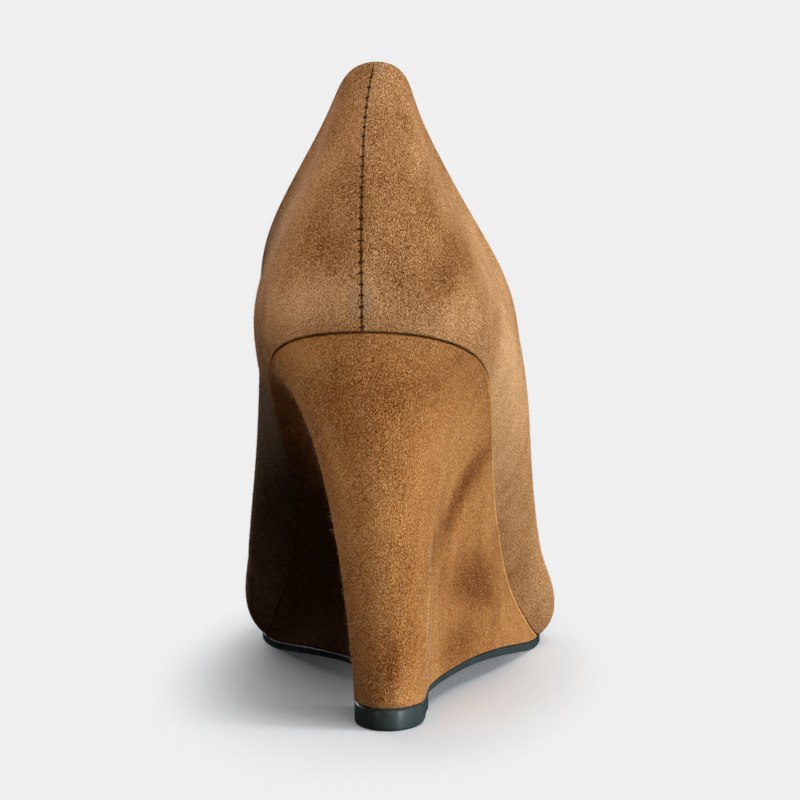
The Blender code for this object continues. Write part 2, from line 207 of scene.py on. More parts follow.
# Sway of the back seam to the inner side, in millimetres, at heights above the floor
SwayRow = namedtuple("SwayRow", "height at")
SWAY = [
    SwayRow(90.5, 0.0),
    SwayRow(100.0, -0.05),
    SwayRow(107.6, -0.35),
    SwayRow(120.7, -1.05),
    SwayRow(128.5, -1.6),
    SwayRow(135.2, -2.1),
    SwayRow(143.8, -1.9),
    SwayRow(150.5, -0.4),
]
SWAY_WIDTH = 9.0        # the suede beside the seam follows it, less and less over this distance


def linear(hex_colour):
    """An sRGB hex colour as linear red, green, blue and alpha."""
    parts = [int(hex_colour[i : i + 2], 16) / 255 for i in (1, 3, 5)]
    return tuple(p / 12.92 if p <= 0.04045 else ((p + 0.055) / 1.055) ** 2.4 for p in parts) + (1.0,)


def size_property(name, description, default):
    """A size in metres that a maker would change."""
    return FloatProperty(name=name, description=description, default=default, unit="LENGTH", precision=5)


def colour_property(name, description, hex_colour):
    """A colour that a maker would change."""
    default = linear(hex_colour)
    return FloatVectorProperty(name=name, description=description, default=default, size=4, subtype="COLOR")


class PumpSizes(bpy.types.PropertyGroup):
    """Sizes of the finish that a maker would change."""

    suede: size_property("Suede", "Thickness of the suede wall", 0.0011)
    edge: size_property("Turned edge", "Radius of the suede turned over the wedge's edges", 0.00018)
    seam_depth: size_property("Seam depth", "Depth of the closed back seam", 0.00022)
    seam_width: size_property("Seam width", "Half width of the back seam's groove", 0.00019)
    stitch_pitch: size_property("Stitch pitch", "Distance between stitches", 0.00242)
    stitch_length: size_property("Stitch length", "Length of a stitch across the seam", 0.00125)
    thread: size_property("Thread", "Radius of the thread", 0.00025)
    sole_edge: size_property("Sole edge", "Radius of the outsole's edges", 0.00045)
    lift_edge: size_property("Lift edge", "Radius of the top lift's edges", 0.0007)
    rib_pitch: size_property("Rib pitch", "Distance between the outsole's tread ribs", 0.0026)
    rib_depth: size_property("Rib depth", "Depth of the grooves between ribs", 0.0003)
    fibre: size_property("Nap fibre", "Length of a nap fibre", 0.00062)
    fibres: IntProperty(
        name="Fibres", description="Nap fibres of each of the three shades", default=48000, min=100
    )


class PumpColours(bpy.types.PropertyGroup):
    """Colours of the finish."""

    suede_dark: colour_property("Upper, dark", "Nap brushed away", "#58300E")
    suede_mid: colour_property("Upper", "Suede of the upper", "#A57341")
    suede_light: colour_property("Upper, light", "Nap brushed up", "#E2B686")
    cover_dark: colour_property("Wedge, dark", "Nap brushed away", "#5E2E0A")
    cover_mid: colour_property("Wedge", "Suede of the wedge's cover", "#A66C37")
    cover_light: colour_property("Wedge, light", "Nap brushed up", "#E0AA68")
    fuzz_light: colour_property("Fuzz, light", "Palest loose fibres", "#E6C496")
    fuzz_mid: colour_property("Fuzz", "Loose fibres", "#CDA06C")
    fuzz_dark: colour_property("Fuzz, dark", "Darkest loose fibres", "#A87644")
    rub: colour_property("Rub", "Suede rubbed grey", "#9A8F80")
    thread: colour_property("Thread", "Back seam's thread", "#38200F")
    rubber: colour_property("Rubber", "Outsole and lift", "#3E4B4B")
    rubber_dark: colour_property("Rubber, dark", "Clouds in the rubber", "#2E3A3A")
    lining: colour_property("Lining", "Lining leather", "#B98E60")
    sock: colour_property("Sock", "Sock leather", "#B08050")
    leather_dark: colour_property("Leather, dark", "Clouds in the lining and sock leather", "#9A744A")
    floor: colour_property("Floor", "Floor and backdrop", "#EFEFEF")


def bend(distance, half_length):
    """0 before a bend, the distance itself after it, and a parabola of that half length between them."""
    d = np.asarray(distance, float)
    inside = (d + half_length) ** 2 / (4 * half_length)
    return np.where(d < -half_length, 0.0, np.where(d > half_length, d, inside))


def curve(knots, values, at):
    """Natural cubic spline through the rows of values, read at the given places."""
    k, v = np.asarray(knots, float), np.asarray(values, float)
    h = np.diff(k)
    system, right = np.eye(len(k)), np.zeros_like(v)
    for i in range(1, len(k) - 1):
        system[i, i - 1 : i + 2] = h[i - 1], 2 * (h[i - 1] + h[i]), h[i]
        right[i] = 6 * ((v[i + 1] - v[i]) / h[i] - (v[i] - v[i - 1]) / h[i - 1])
    m = np.linalg.solve(system, right)
    at = np.asarray(at, float)
    i = np.clip(np.searchsorted(k, at) - 1, 0, len(k) - 2)
    a, b = ((k[i + 1] - at) / h[i])[:, None], ((at - k[i]) / h[i])[:, None]
    bow = ((a**3 - a) * m[i] + (b**3 - b) * m[i + 1]) * (h[i] ** 2)[:, None] / 6
    return a * v[i] + b * v[i + 1] + bow


def closed_curve(knots, length, values, at):
    """The same spline through rows that come round to the first again."""
    k, v = np.asarray(knots, float), np.asarray(values, float)
    wrap = 4
    k = np.concatenate([k[-wrap:] - length, k, k[:wrap] + length])
    v = np.concatenate([v[-wrap:], v, v[:wrap]])
    return curve(k, v, np.mod(at, length))


def bezier(p0, p1, p2, p3, t):
    """Points along cubic curves, one for each row of control points, at that row's own shares t."""
    p0, p1, p2, p3 = (p[:, None, :] for p in (p0, p1, p2, p3))
    t = t[:, :, None]
    s = 1 - t
    return s**3 * p0 + 3 * s**2 * t * p1 + 3 * s * t**2 * p2 + t**3 * p3


def unit(vectors):
    """The same vectors, one millimetre long."""
    return vectors / np.linalg.norm(vectors, axis=-1, keepdims=True)


def feather_height(y):
    """Height of the foot's bottom edge above the floor: seat, shank, tread and toe spring."""
    shank = SHANK_SLOPE * bend(BALL_START - y, BEND_BALL)
    seat = (SHANK_SLOPE - SEAT_SLOPE) * bend(SEAT_END - y, BEND_SEAT)
    toe = TOE_SPRING * bend(y - TREAD_END, BEND_TOE)
    return SOLE_THICK + GAP + shank - seat + toe


def sole_bottom(y):
    """Height of the outsole's underside: arch, flat tread and toe spring."""
    arch = ARCH_SLOPE * bend(ARCH_START - y, BEND_BALL) - ARCH_TURN * bend(ARCH_END - y, BEND_ARCH)
    return arch + TOE_SPRING * bend(y - TREAD_END, BEND_TOE)


def sole_top(y):
    """Height of the outsole's upper face: under the wedge, and under the foot in front of it."""
    share = np.clip((y - BREAST) / (ARCH_START - BREAST), 0, 1)
    thick = SOLE_THICK_BREAST + (SOLE_THICK - SOLE_THICK_BREAST) * share
    return np.where(y < WEDGE_FRONT + 1.5 * GAP, sole_bottom(y) + thick, feather_height(y) - GAP)


def wedge_bottom(y):
    """Height of the wedge's underside: level over the top lift, then lying on the outsole."""
    return np.where(y < BREAST + GAP, LIFT_THICK + GAP, sole_top(y) + GAP)


def last_knots():
    """Place of each row of the last along the feather edge, and the length of the whole way round."""
    feather = np.array([(r.feather_x, r.feather_y) for r in LAST])
    steps = np.linalg.norm(np.roll(feather, -1, axis=0) - feather, axis=1)
    knots = np.concatenate([[0.0], np.cumsum(steps)[:-1]])
    return knots, steps.sum()


def last_columns(at):
    """Every column of the last's table, read smoothly at places along the closed feather edge."""
    return closed_curve(*last_knots(), [row[1:] for row in LAST], at)


def outward(at):
    """Level unit normals of the feather edge, pointing away from the foot."""
    small = 0.05
    along = unit(last_columns(at + small)[:, :2] - last_columns(at - small)[:, :2])
    return np.column_stack([along[:, 1], -along[:, 0]])


def leaning(normals, degrees, sign):
    """Unit directions that lean from upright, outwards for sign 1 and inwards for sign -1."""
    lean = np.radians(degrees)
    return np.column_stack([normals * (sign * np.sin(lean))[:, None], np.cos(lean)])


def feather_points(at):
    """The feather edge in three dimensions."""
    xy = last_columns(at)[:, :2]
    return np.column_stack([xy, feather_height(xy[:, 1])])


def tread_points(at, height):
    """Outline of the wedge's and the sole's tread, at the heights of a profile along the shoe."""
    knots, length = last_knots()
    treads = {r.place: (r.tread_x, r.tread_y) for r in WEDGE}
    rows = [treads.get(r.place, (r.feather_x, r.feather_y)) for r in LAST]
    xy = closed_curve(knots, length, rows, at)
    return np.column_stack([xy, height(xy[:, 1])])


def tread_outward(at):
    """Level unit normals of the tread's outline."""
    small = 0.05
    flat = tread_points(at + small, np.zeros_like)[:, :2] - tread_points(at - small, np.zeros_like)[:, :2]
    along = unit(flat)
    return np.column_stack([along[:, 1], -along[:, 0]])


def place_of(name):
    """Place of a named row along the feather edge, negative on the inner side behind the toe tip."""
    knots, length = last_knots()
    names = [r.place for r in LAST]
    at = knots[names.index(name)]
    return at - length if names.index(name) > names.index("toe_tip") else at


def upper_face(at, t):
    """The upper's outer face: a row of points up the wall for each place along the feather edge."""
    c = last_columns(at)
    normals = outward(at)
    foot, top = feather_points(at), c[:, 2:5]
    low = foot + leaning(normals, c[:, 5], 1) * c[:, 6:7]
    high = top - leaning(normals, c[:, 7], -1) * c[:, 8:9]
    return bezier(foot, low, high, top, t)


def wedge_face(at, t):
    """The wedge's side: a row of points up from the tread for each place along the feather edge."""
    names = [r.place for r in WEDGE]
    c = curve([place_of(n) for n in names], [row[3:] for row in WEDGE], at)
    normals = outward(at)
    foot, top = tread_points(at, wedge_bottom), feather_points(at) - (0, 0, GAP)
    low = foot + leaning(normals, c[:, 0], 1) * c[:, 1:2]
    high = top - leaning(normals, c[:, 2], 1) * c[:, 3:4]
    return bezier(foot, low, high, top, t)


def facing(face, at, t):
    """Unit normals of a face, pointing away from the shoe."""
    small_at, small_t = 0.05, 0.003
    across = face(at + small_at, t) - face(at - small_at, t)
    up = face(at, t + small_t) - face(at, t - small_t)
    return unit(np.cross(across, up))


def shares_up(face, at, rows, low, high, crowd):
    """Shares up each column, even in length but crowded to both ends, which stop low and high inside it."""
    fine = np.linspace(0, 1, 81)
    points = face(at, np.tile(fine, (len(at), 1)))
    way = np.cumsum(np.linalg.norm(np.diff(points, axis=1), axis=2), axis=1)
    way = np.concatenate([np.zeros((len(at), 1)), way], axis=1)
    spread = np.linspace(0, 1, rows)
    spread = spread - crowd * np.sin(2 * math.pi * spread) / (2 * math.pi)
    shares = []
    for column, start, end in zip(way, low, high):
        shares.append(np.interp(start + (column[-1] - start - end) * spread, column, fine))
    return np.array(shares)


def stations(end, fine, coarse, fade, count=None):
    """Places from the back seam to an end, close together at the seam, and as many as a count if given."""
    places = [0.0]
    while places[-1] < abs(end):
        share = min(1.0, places[-1] / fade)
        places.append(places[-1] + fine + (coarse - fine) * share)
    places = np.array(places) * end / places[-1]
    if count:
        places = np.interp(np.linspace(0, len(places) - 1, count), np.arange(len(places)), places)
    return places


def spots(table, piece, at, height):
    """Sum of a table's soft spots on a piece, at places along the feather edge and heights."""
    total = np.zeros(np.broadcast(at, height).shape)
    for spot in table:
        if spot.piece != piece:
            continue
        turn = math.radians(spot.turn)
        u, v = at - spot.at, height - spot.height
        along = (u * math.cos(turn) + v * math.sin(turn)) / spot.long
        across = (v * math.cos(turn) - u * math.sin(turn)) / spot.wide
        total += spot.amount * np.exp(-(along**2) - across**2)
    return total


def seam_sway(height):
    """Place of the back seam along the feather edge, at heights above the floor."""
    knots = [row.height for row in SWAY]
    flat = np.clip(np.ravel(height), knots[0], knots[-1])
    return curve(knots, [[row.at] for row in SWAY], flat)[:, 0].reshape(np.shape(height))


def swayed(at, t):
    """Places of a grid's points along the feather edge, once the columns follow the back seam's sway."""
    height = upper_face(at, t)[:, :, 2]
    return at[:, None] + seam_sway(height) * np.exp(-((at / SWAY_WIDTH) ** 2))[:, None]


def pointwise(function, at, t):
    """A face function read at a place and a share of its own for every point of a grid."""
    values = function(at.ravel(), t.reshape(-1, 1))
    return values.reshape(*t.shape, 3)


def seam_relief(at, way, sizes):
    """Depth of the closed back seam: a narrow groove with soft lips, pinched a little at each stitch."""
    width, depth = sizes.seam_width / MM, sizes.seam_depth / MM
    pinch = 0.75 + 0.25 * np.cos(2 * math.pi * way / (sizes.stitch_pitch / MM))
    # lips and dip are shares of the groove's depth, at and over so many of its widths
    groove = -depth * np.exp(-((at / width) ** 2))
    lips = 0.3 * depth * np.exp(-(((np.abs(at) - 3.2 * width) / (1.8 * width)) ** 2))
    dip = -0.3 * depth * pinch * np.exp(-((at / (3 * width)) ** 2))
    return groove + lips + dip


def grid_faces(rows, wide, close_rows, close_wide):
    """Corner numbers of the squares of a grid of points."""
    index = np.arange(rows * wide).reshape(rows, wide)
    if close_rows:
        index = np.concatenate([index, index[:1]])
    if close_wide:
        index = np.concatenate([index, index[:, :1]], axis=1)
    corners = [index[:-1, :-1], index[1:, :-1], index[1:, 1:], index[:-1, 1:]]
    return np.stack([c.ravel() for c in corners], axis=1).tolist()


def mesh_object(name, points, faces, material, **shades):
    """A named object from points in the last's measures; each shade is a value kept for every point."""
    mesh = bpy.data.meshes.new(name)
    mesh.from_pydata(((np.asarray(points) - ORIGIN) * MM).tolist(), [], faces)
    for key, values in shades.items():
        layer = mesh.attributes.new(key, "FLOAT", "POINT")
        layer.data.foreach_set("value", np.ascontiguousarray(values, dtype=np.float32).ravel())
    body = bmesh.new()
    body.from_mesh(mesh)
    bmesh.ops.remove_doubles(body, verts=body.verts, dist=1e-6)
    bmesh.ops.dissolve_degenerate(body, edges=body.edges, dist=1e-6)
    bmesh.ops.recalc_face_normals(body, faces=body.faces)
    body.to_mesh(mesh)
    body.free()
    mesh.shade_smooth()
    mesh.materials.append(material)
    obj = bpy.data.objects.new(name, mesh)
    bpy.context.scene.collection.objects.link(obj)
    return obj


def settle(obj, slot, *nodes):
    """The piece rides on the shoe and stands for the nodes given, which are hidden. Its slot is not used."""
    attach(obj, "root")
    if nodes:
        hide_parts(*nodes)
    return obj


def add_node(tree, kind, sockets=None, **settings):
    """A new node with its settings, and its sockets set or linked."""
    node = tree.nodes.new(kind)
    for key, value in settings.items():
        setattr(node, key, value)
    for key, value in (sockets or {}).items():
        if isinstance(value, bpy.types.NodeSocket):
            tree.links.new(value, node.inputs[key])
        else:
            node.inputs[key].default_value = value
    return node


def new_material(name, values=None):
    """A material, its node tree and its shader, with the shader's own values set."""
    material = bpy.data.materials.new(name)
    material.use_nodes = True
    tree = material.node_tree
    shader = tree.nodes["Principled BSDF"]
    for key, value in (values or {}).items():
        shader.inputs[key].default_value = value
    return material, tree, shader


def per_mm(size):
    """Texture scale that gives features of a size in millimetres, in coordinates of metres."""
    return 1.0 / (size * MM)


# Layers of a suede's shade: size in millimetres, share, detail, and whether the brush has turned it
SuedeLayer = namedtuple("SuedeLayer", "place size share detail is_brushed")
SUEDE_LAYERS = [
    SuedeLayer("clouds of wear", 26.0, 0.50, 2.0, False),
    SuedeLayer("strokes of the hand", 7.0, 0.45, 2.0, True),
    SuedeLayer("tufts", 0.20, 1.80, 0.0, True),
]
SWIRL_SIZE, SWIRL_REACH = 6.0, 1.6      # the brush's turns and how far they carry the nap, in millimetres
BRUSH_STRETCH = (1.0, 1.0, 0.6)         # the brush went up and down the shoe
NAP_SHARE = 0.30                        # how far a stroke of the nap changes the shade
TUFT_DEPTH = 0.15                       # in millimetres


def suede(name, dark, mid, light, rubbed):
    """Suede: split leather sanded to a short nap. It is matte, pale where the nap stands to the light and
    dark where it was brushed away, with a soft sheen where the surface turns from the eye. Its tufts are
    a tenth of a millimetre wide; they are drawn twice as wide here, so that they show."""
    finish = {
        "Roughness": 0.95,
        "Specular IOR Level": 0.10,
        "Sheen Weight": 0.10,
        "Sheen Roughness": 0.45,
        "Sheen Tint": light,
    }
    material, tree, shader = new_material(name, finish)
    where = add_node(tree, "ShaderNodeTexCoord").outputs["Object"]
    # the nap holds the strokes of the nap and, with them, painted shade in the back seam and the crease and
    # a painted highlight on the wedge's fold
    nap = add_node(tree, "ShaderNodeAttribute", attribute_name="nap").outputs["Fac"]
    rub = add_node(tree, "ShaderNodeAttribute", attribute_name="rub").outputs["Fac"]
    turns = add_node(
        tree, "ShaderNodeTexNoise", {"Vector": where, "Scale": per_mm(SWIRL_SIZE), "Detail": 1.0}
    ).outputs["Color"]
    reach = (SWIRL_REACH * MM, SWIRL_REACH * MM, SWIRL_REACH * MM)
    swirled = add_node(
        tree, "ShaderNodeVectorMath", {0: turns, 1: reach, 2: where}, operation="MULTIPLY_ADD"
    ).outputs["Vector"]
    brushed = add_node(
        tree, "ShaderNodeMapping", {"Vector": swirled, "Scale": BRUSH_STRETCH}
    ).outputs["Vector"]
    shade = add_node(
        tree, "ShaderNodeMath", {0: nap, 1: NAP_SHARE, 2: 0.5}, operation="MULTIPLY_ADD"
    ).outputs["Value"]
    for layer in SUEDE_LAYERS:
        vector = brushed if layer.is_brushed else where
        scale = per_mm(layer.size)
        noise = add_node(
            tree, "ShaderNodeTexNoise", {"Vector": vector, "Scale": scale, "Detail": layer.detail}
        ).outputs["Fac"]
        even = add_node(tree, "ShaderNodeMath", {0: noise, 1: 0.5}, operation="SUBTRACT").outputs["Value"]
        shade = add_node(
            tree, "ShaderNodeMath", {0: even, 1: layer.share, 2: shade}, operation="MULTIPLY_ADD"
        ).outputs["Value"]
    ramp = add_node(tree, "ShaderNodeValToRGB", {"Fac": shade})
    ramp.color_ramp.elements[0].color = dark
    ramp.color_ramp.elements[1].color = light
    ramp.color_ramp.elements.new(0.5).color = mid
    worn = add_node(
        tree, "ShaderNodeMix", {"Factor": rub, "A": ramp.outputs["Color"], "B": rubbed}, data_type="RGBA"
    )
    tree.links.new(worn.outputs["Result"], shader.inputs["Base Color"])
    # the last layer, the tufts, gives the surface its relief
    bump = add_node(tree, "ShaderNodeBump", {"Height": even, "Strength": 0.8, "Distance": TUFT_DEPTH * MM})
    tree.links.new(bump.outputs["Normal"], shader.inputs["Normal"])
    return material


def nap_fibre(name, colour):
    """One fibre of the nap: a split leather fibre, matte and a little paler at its edges."""
    finish = {"Base Color": colour, "Roughness": 0.9, "Specular IOR Level": 0.15, "Sheen Weight": 0.2}
    return new_material(name, finish)[0]


def thread(colours):
    """Polyester sewing thread, twisted: dark, with a dull gloss along its strands."""
    finish = {"Base Color": colours.thread, "Roughness": 0.7, "Specular IOR Level": 0.2}
    material, tree, shader = new_material("thread_twisted_polyester", finish)
    where = add_node(tree, "ShaderNodeTexCoord").outputs["Object"]
    strands = add_node(
        tree, "ShaderNodeTexNoise", {"Vector": where, "Scale": per_mm(0.12), "Detail": 1.0}
    ).outputs["Fac"]
    bump = add_node(tree, "ShaderNodeBump", {"Height": strands, "Strength": 0.5, "Distance": 0.00005})
    tree.links.new(bump.outputs["Normal"], shader.inputs["Normal"])
    return material


def rubber(colours):
    """Rubber, moulded and buffed at its edge: green-black and satin, with a faint grain."""
    finish = {"Roughness": 0.42, "Specular IOR Level": 0.28}
    material, tree, shader = new_material("rubber_moulded_satin", finish)
    where = add_node(tree, "ShaderNodeTexCoord").outputs["Object"]
    clouds = add_node(
        tree, "ShaderNodeTexNoise", {"Vector": where, "Scale": per_mm(6.0), "Detail": 3.0}
    ).outputs["Fac"]
    grain = add_node(
        tree, "ShaderNodeTexNoise", {"Vector": where, "Scale": per_mm(0.5), "Detail": 2.0}
    ).outputs["Fac"]
    ramp = add_node(tree, "ShaderNodeValToRGB", {"Fac": clouds})
    ramp.color_ramp.elements[0].position = 0.3
    ramp.color_ramp.elements[0].color = colours.rubber_dark
    ramp.color_ramp.elements[1].position = 0.7
    ramp.color_ramp.elements[1].color = colours.rubber
    tree.links.new(ramp.outputs["Color"], shader.inputs["Base Color"])
    bump = add_node(tree, "ShaderNodeBump", {"Height": grain, "Strength": 0.25, "Distance": 0.00008})
    tree.links.new(bump.outputs["Normal"], shader.inputs["Normal"])
    return material


def smooth_leather(name, colour, dark):
    """Lining leather: grain side, lightly finished, with fine pores and a low sheen."""
    material, tree, shader = new_material(name, {"Roughness": 0.55})
    where = add_node(tree, "ShaderNodeTexCoord").outputs["Object"]
    clouds = add_node(
        tree, "ShaderNodeTexNoise", {"Vector": where, "Scale": per_mm(14.0), "Detail": 3.0}
    ).outputs["Fac"]
    pores = add_node(
        tree, "ShaderNodeTexVoronoi", {"Vector": where, "Scale": per_mm(0.9)}
    ).outputs["Distance"]
    tone = add_node(tree, "ShaderNodeMix", {"Factor": clouds, "A": colour, "B": dark}, data_type="RGBA")
    tree.links.new(tone.outputs["Result"], shader.inputs["Base Color"])
    bump = add_node(tree, "ShaderNodeBump", {"Height": pores, "Strength": 0.3, "Distance": 0.0001})
    tree.links.new(bump.outputs["Normal"], shader.inputs["Normal"])
    return material


def rubber_of(context):
    """The rubber that outsole and top lift share, made the first time that it is asked for."""
    return bpy.data.materials.get("rubber_moulded_satin") or rubber(context.scene.pump_colours)


# How the upper's skin is drawn: columns close together at the back seam and wider apart past it, in
# millimetres, and rows crowded to both edges
SEAM_STEP, UPPER_STEP, SEAM_REACH = 0.16, 1.25, 14.0
UPPER_ROWS, UPPER_CROWD = 68, 0.45
LINING_ROWS, LINING_CROWD = 36, 0.3
SEAM_PAINTED_SHADE = 1.9                        # painted shade down the back seam's groove: how much darker the suede is drawn there
UNDER_SQUARE = 0.45                     # the suede's turn under the foot: 1 is round, less is squarer
UNDER_PAINTED_SHADE, LIP_PAINTED_SHADE = -0.2, -1.0     # painted shade on the suede turned under the foot, and more of it in the crease where the upper stands over the wedge
LIP_END, LIP_FADE = 42.0, 18.0          # where the crease's painted shade under the upper's edge stops, and over what length it fades
LINING_CLEAR = 0.05                     # between suede and lining, and inside the lining
LINING_LOW, LINING_HIGH = 0.4, 0.9      # how far the lining stops short of the upper's edges


def upper_places():
    """Places round the whole upper, closest together at the back seam."""
    tip, length = place_of("toe_tip"), last_knots()[1]
    outer = stations(tip, SEAM_STEP, UPPER_STEP, SEAM_REACH)
    inner = stations(tip - length, SEAM_STEP, UPPER_STEP, SEAM_REACH)
    return np.concatenate([outer, inner[-2:0:-1]])


def upper_skin(sizes):
    """Places, plain face, face with its relief, normals, nap and rubs of the upper's suede."""
    at = upper_places()
    half = np.full(len(at), sizes.suede / MM / 2)
    t = shares_up(upper_face, at, UPPER_ROWS, half, half, UPPER_CROWD)
    place = swayed(at, t)
    base = pointwise(upper_face, place, t)
    normals = pointwise(lambda a, s: facing(upper_face, a, s), place, t)
    way = np.cumsum(np.linalg.norm(np.diff(base, axis=1, prepend=base[:, :1]), axis=2), axis=1)
    relief = spots(CREASES, "upper", place, base[:, :, 2]) + seam_relief(at[:, None], way, sizes)
    nap = spots(STROKES, "upper", place, base[:, :, 2])
    # painted shade: the suede drawn darker down the back seam's groove
    nap = nap - SEAM_PAINTED_SHADE * np.exp(-((at / (sizes.seam_width / MM)) ** 2))[:, None]
    rub = spots(RUBS, "upper", place, base[:, :, 2])
    return at, base, base + relief[:, :, None] * normals, normals, nap, rub


def lip_painted_shade_share(at):
    """Share of the painted shade in the crease where the upper stands over the wedge's edge: full round the
    back, and none along the sides.
    """
    return np.clip((LIP_END - np.abs(at)) / LIP_FADE, 0, 1)


class PUMP_OT_upper(bpy.types.Operator):
    """Suede wall of the upper, turned over at the topline and under the foot, and its lining"""

    bl_idname = "pump.upper"
    bl_label = "Upper and Lining"

    def execute(self, context):
        sizes, colours = context.scene.pump_sizes, context.scene.pump_colours
        thick = sizes.suede / MM
        at, base, outer, normals, nap, rub = upper_skin(sizes)
        angles = np.linspace(0, math.pi, 9)[1:-1]
        up, down = unit(outer[:, -1] - outer[:, -2]), unit(outer[:, 0] - outer[:, 1])
        top = outer[:, -1] - thick / 2 * normals[:, -1]
        low = outer[:, 0] - thick / 2 * normals[:, 0]
        over = [top + thick / 2 * (math.cos(a) * normals[:, -1] + math.sin(a) * up) for a in angles]
        under = []
        for a in angles:
            drop = math.sin(a) ** UNDER_SQUARE
            aside = math.copysign(abs(math.cos(a)) ** UNDER_SQUARE, math.cos(a))
            under.append(low + thick / 2 * (drop * down - aside * normals[:, 0]))
        inside = (base - thick * normals)[:, ::-1]
        rings = np.concatenate([outer, np.stack(over, 1), inside, np.stack(under, 1)], axis=1)
        shade = np.zeros(rings.shape[:2])
        shade[:, : nap.shape[1]] = nap
        # painted shade on the suede turned under the foot, deepest in the crease round the back
        shade[:, -len(angles) :] = (UNDER_PAINTED_SHADE + LIP_PAINTED_SHADE * lip_painted_shade_share(at))[:, None]
        grey = np.zeros(rings.shape[:2])
        grey[:, : rub.shape[1]] = rub
        faces = grid_faces(*rings.shape[:2], True, True)
        napped = suede(
            "suede_brushed_nap", colours.suede_dark, colours.suede_mid, colours.suede_light, colours.rub
        )
        shell = mesh_object("upper_suede", rings.reshape(-1, 3), faces, napped, nap=shade, rub=grey)
        settle(shell, "suede", "upper")

        lining_thick = WALL - thick - 2 * LINING_CLEAR
        keep = slice(None, None, 2)
        low, high = np.full(len(at), LINING_LOW), np.full(len(at), LINING_HIGH)
        t = shares_up(upper_face, at, LINING_ROWS, low, high, LINING_CROWD)[keep]
        face, out = upper_face(at[keep], t), facing(upper_face, at[keep], t)
        near = face - (thick + LINING_CLEAR) * out
        far = face - (thick + LINING_CLEAR + lining_thick) * out
        rings = np.concatenate([near, far[:, ::-1]], axis=1)
        faces = grid_faces(*rings.shape[:2], True, True)
        leather = smooth_leather("lining_leather", colours.lining, colours.leather_dark)
        lining = mesh_object("upper_lining", rings.reshape(-1, 3), faces, leather)
        settle(lining, "sock_leather")
        return {"FINISHED"}


# Thread of the back seam: where it starts and stops up the upper, in shares. Then, in millimetres, how far
# the stitching stays from both ends and a stitch is out of step, how its length varies, how it slants, and
# how it rises over the seam and sinks at its ends
SEAM_SEED = 11
SEAM_LOW, SEAM_HIGH, SEAM_POINTS = 0.004, 0.992, 160
STITCH_MARGIN, STITCH_JITTER = 1.0, 0.12
STITCH_VARIES, STITCH_SLANT = (0.85, 1.15), (-0.05, 0.35)
STITCH_RISE, STITCH_SINK = 0.05, 0.45
RUN_DEEP, RUN_THIN = 0.9, 0.35          # the thread between stitches: shares of the groove and of its radius
THREAD_SIDES = 8


def tube(path, radii, sides):
    """Points and faces of a round thread along a path, closed at both ends."""
    path = np.asarray(path, float)
    along = unit(np.gradient(path, axis=0))
    aslant = (0.3, 0.2, 0.93)           # a way that no thread here runs
    aside = unit(np.cross(along, aslant))
    up = np.cross(along, aside)
    turn = np.linspace(0, 2 * math.pi, sides, endpoint=False)
    ring = np.cos(turn)[None, :, None] * aside[:, None] + np.sin(turn)[None, :, None] * up[:, None]
    points = (path[:, None] + ring * np.asarray(radii)[:, None, None]).reshape(-1, 3)
    faces = grid_faces(len(path), sides, False, True)
    faces.append(list(range(sides))[::-1])
    faces.append(list(range(len(points) - sides, len(points))))
    return points, faces


class PUMP_OT_back_seam(bpy.types.Operator):
    """Thread down the closed back seam, with a short stitch across it at every pitch"""

    bl_idname = "pump.back_seam"
    bl_label = "Back Seam"

    def execute(self, context):
        sizes, colours = context.scene.pump_sizes, context.scene.pump_colours
        random = np.random.default_rng(SEAM_SEED)
        radius, pitch, deep = sizes.thread / MM, sizes.stitch_pitch / MM, sizes.seam_depth / MM
        fine = np.linspace(SEAM_LOW, SEAM_HIGH, SEAM_POINTS)[None, :]
        place = swayed(np.zeros(1), fine)
        line = pointwise(upper_face, place, fine)[0]
        out = pointwise(lambda a, s: facing(upper_face, a, s), place, fine)[0]
        way = np.concatenate([[0], np.cumsum(np.linalg.norm(np.diff(line, axis=0), axis=1))])
        run = line - (deep * RUN_DEEP) * out
        points, faces = tube(run, np.full(len(line), radius * RUN_THIN), THREAD_SIDES)
        points, faces = [points], [faces]
        for reach in np.arange(STITCH_MARGIN, way[-1] - STITCH_MARGIN, pitch):
            t = np.interp(reach + random.uniform(-STITCH_JITTER, STITCH_JITTER), way, fine[0])
            half = sizes.stitch_length / MM / 2 * random.uniform(*STITCH_VARIES)
            tilt = random.uniform(*STITCH_SLANT)
            steps = np.linspace(-1, 1, 9)
            shares = np.clip(t + tilt * half * steps / way[-1], 0, 1)
            path = []
            for step, share in zip(steps, shares):
                row = np.array([[share]])
                at = np.array([step * half]) + np.interp(share, fine[0], place[0])
                lift = STITCH_RISE - STITCH_SINK * abs(step) ** 3
                path.append(upper_face(at, row)[0, 0] + lift * facing(upper_face, at, row)[0, 0])
            # a stitch runs thin where its ends go into the suede
            radii = radius * np.sqrt(np.clip(1.08 - steps**4, 0.05, 1))
            new_points, new_faces = tube(path, radii, THREAD_SIDES)
            start = sum(len(p) for p in points)
            points.append(new_points)
            faces.append([[i + start for i in f] for f in new_faces])
        every = [f for group in faces for f in group]
        seam = mesh_object("back_seam_stitches", np.concatenate(points), every, thread(colours))
        settle(seam, "suede")
        return {"FINISHED"}


# How the wedge's cover is drawn: columns matched on both sides, closer together at the back, in millimetres
COVER_STEP, COVER_WIDE_STEP, COVER_REACH = 0.6, 1.1, 30.0
COVER_COLUMNS, COVER_ROWS, COVER_CROWD = 168, 84, 0.5
LOW_SIDE, LOW_FADE = 4.0, 10.0          # a side this tall starts to crease, and one taller by this is full
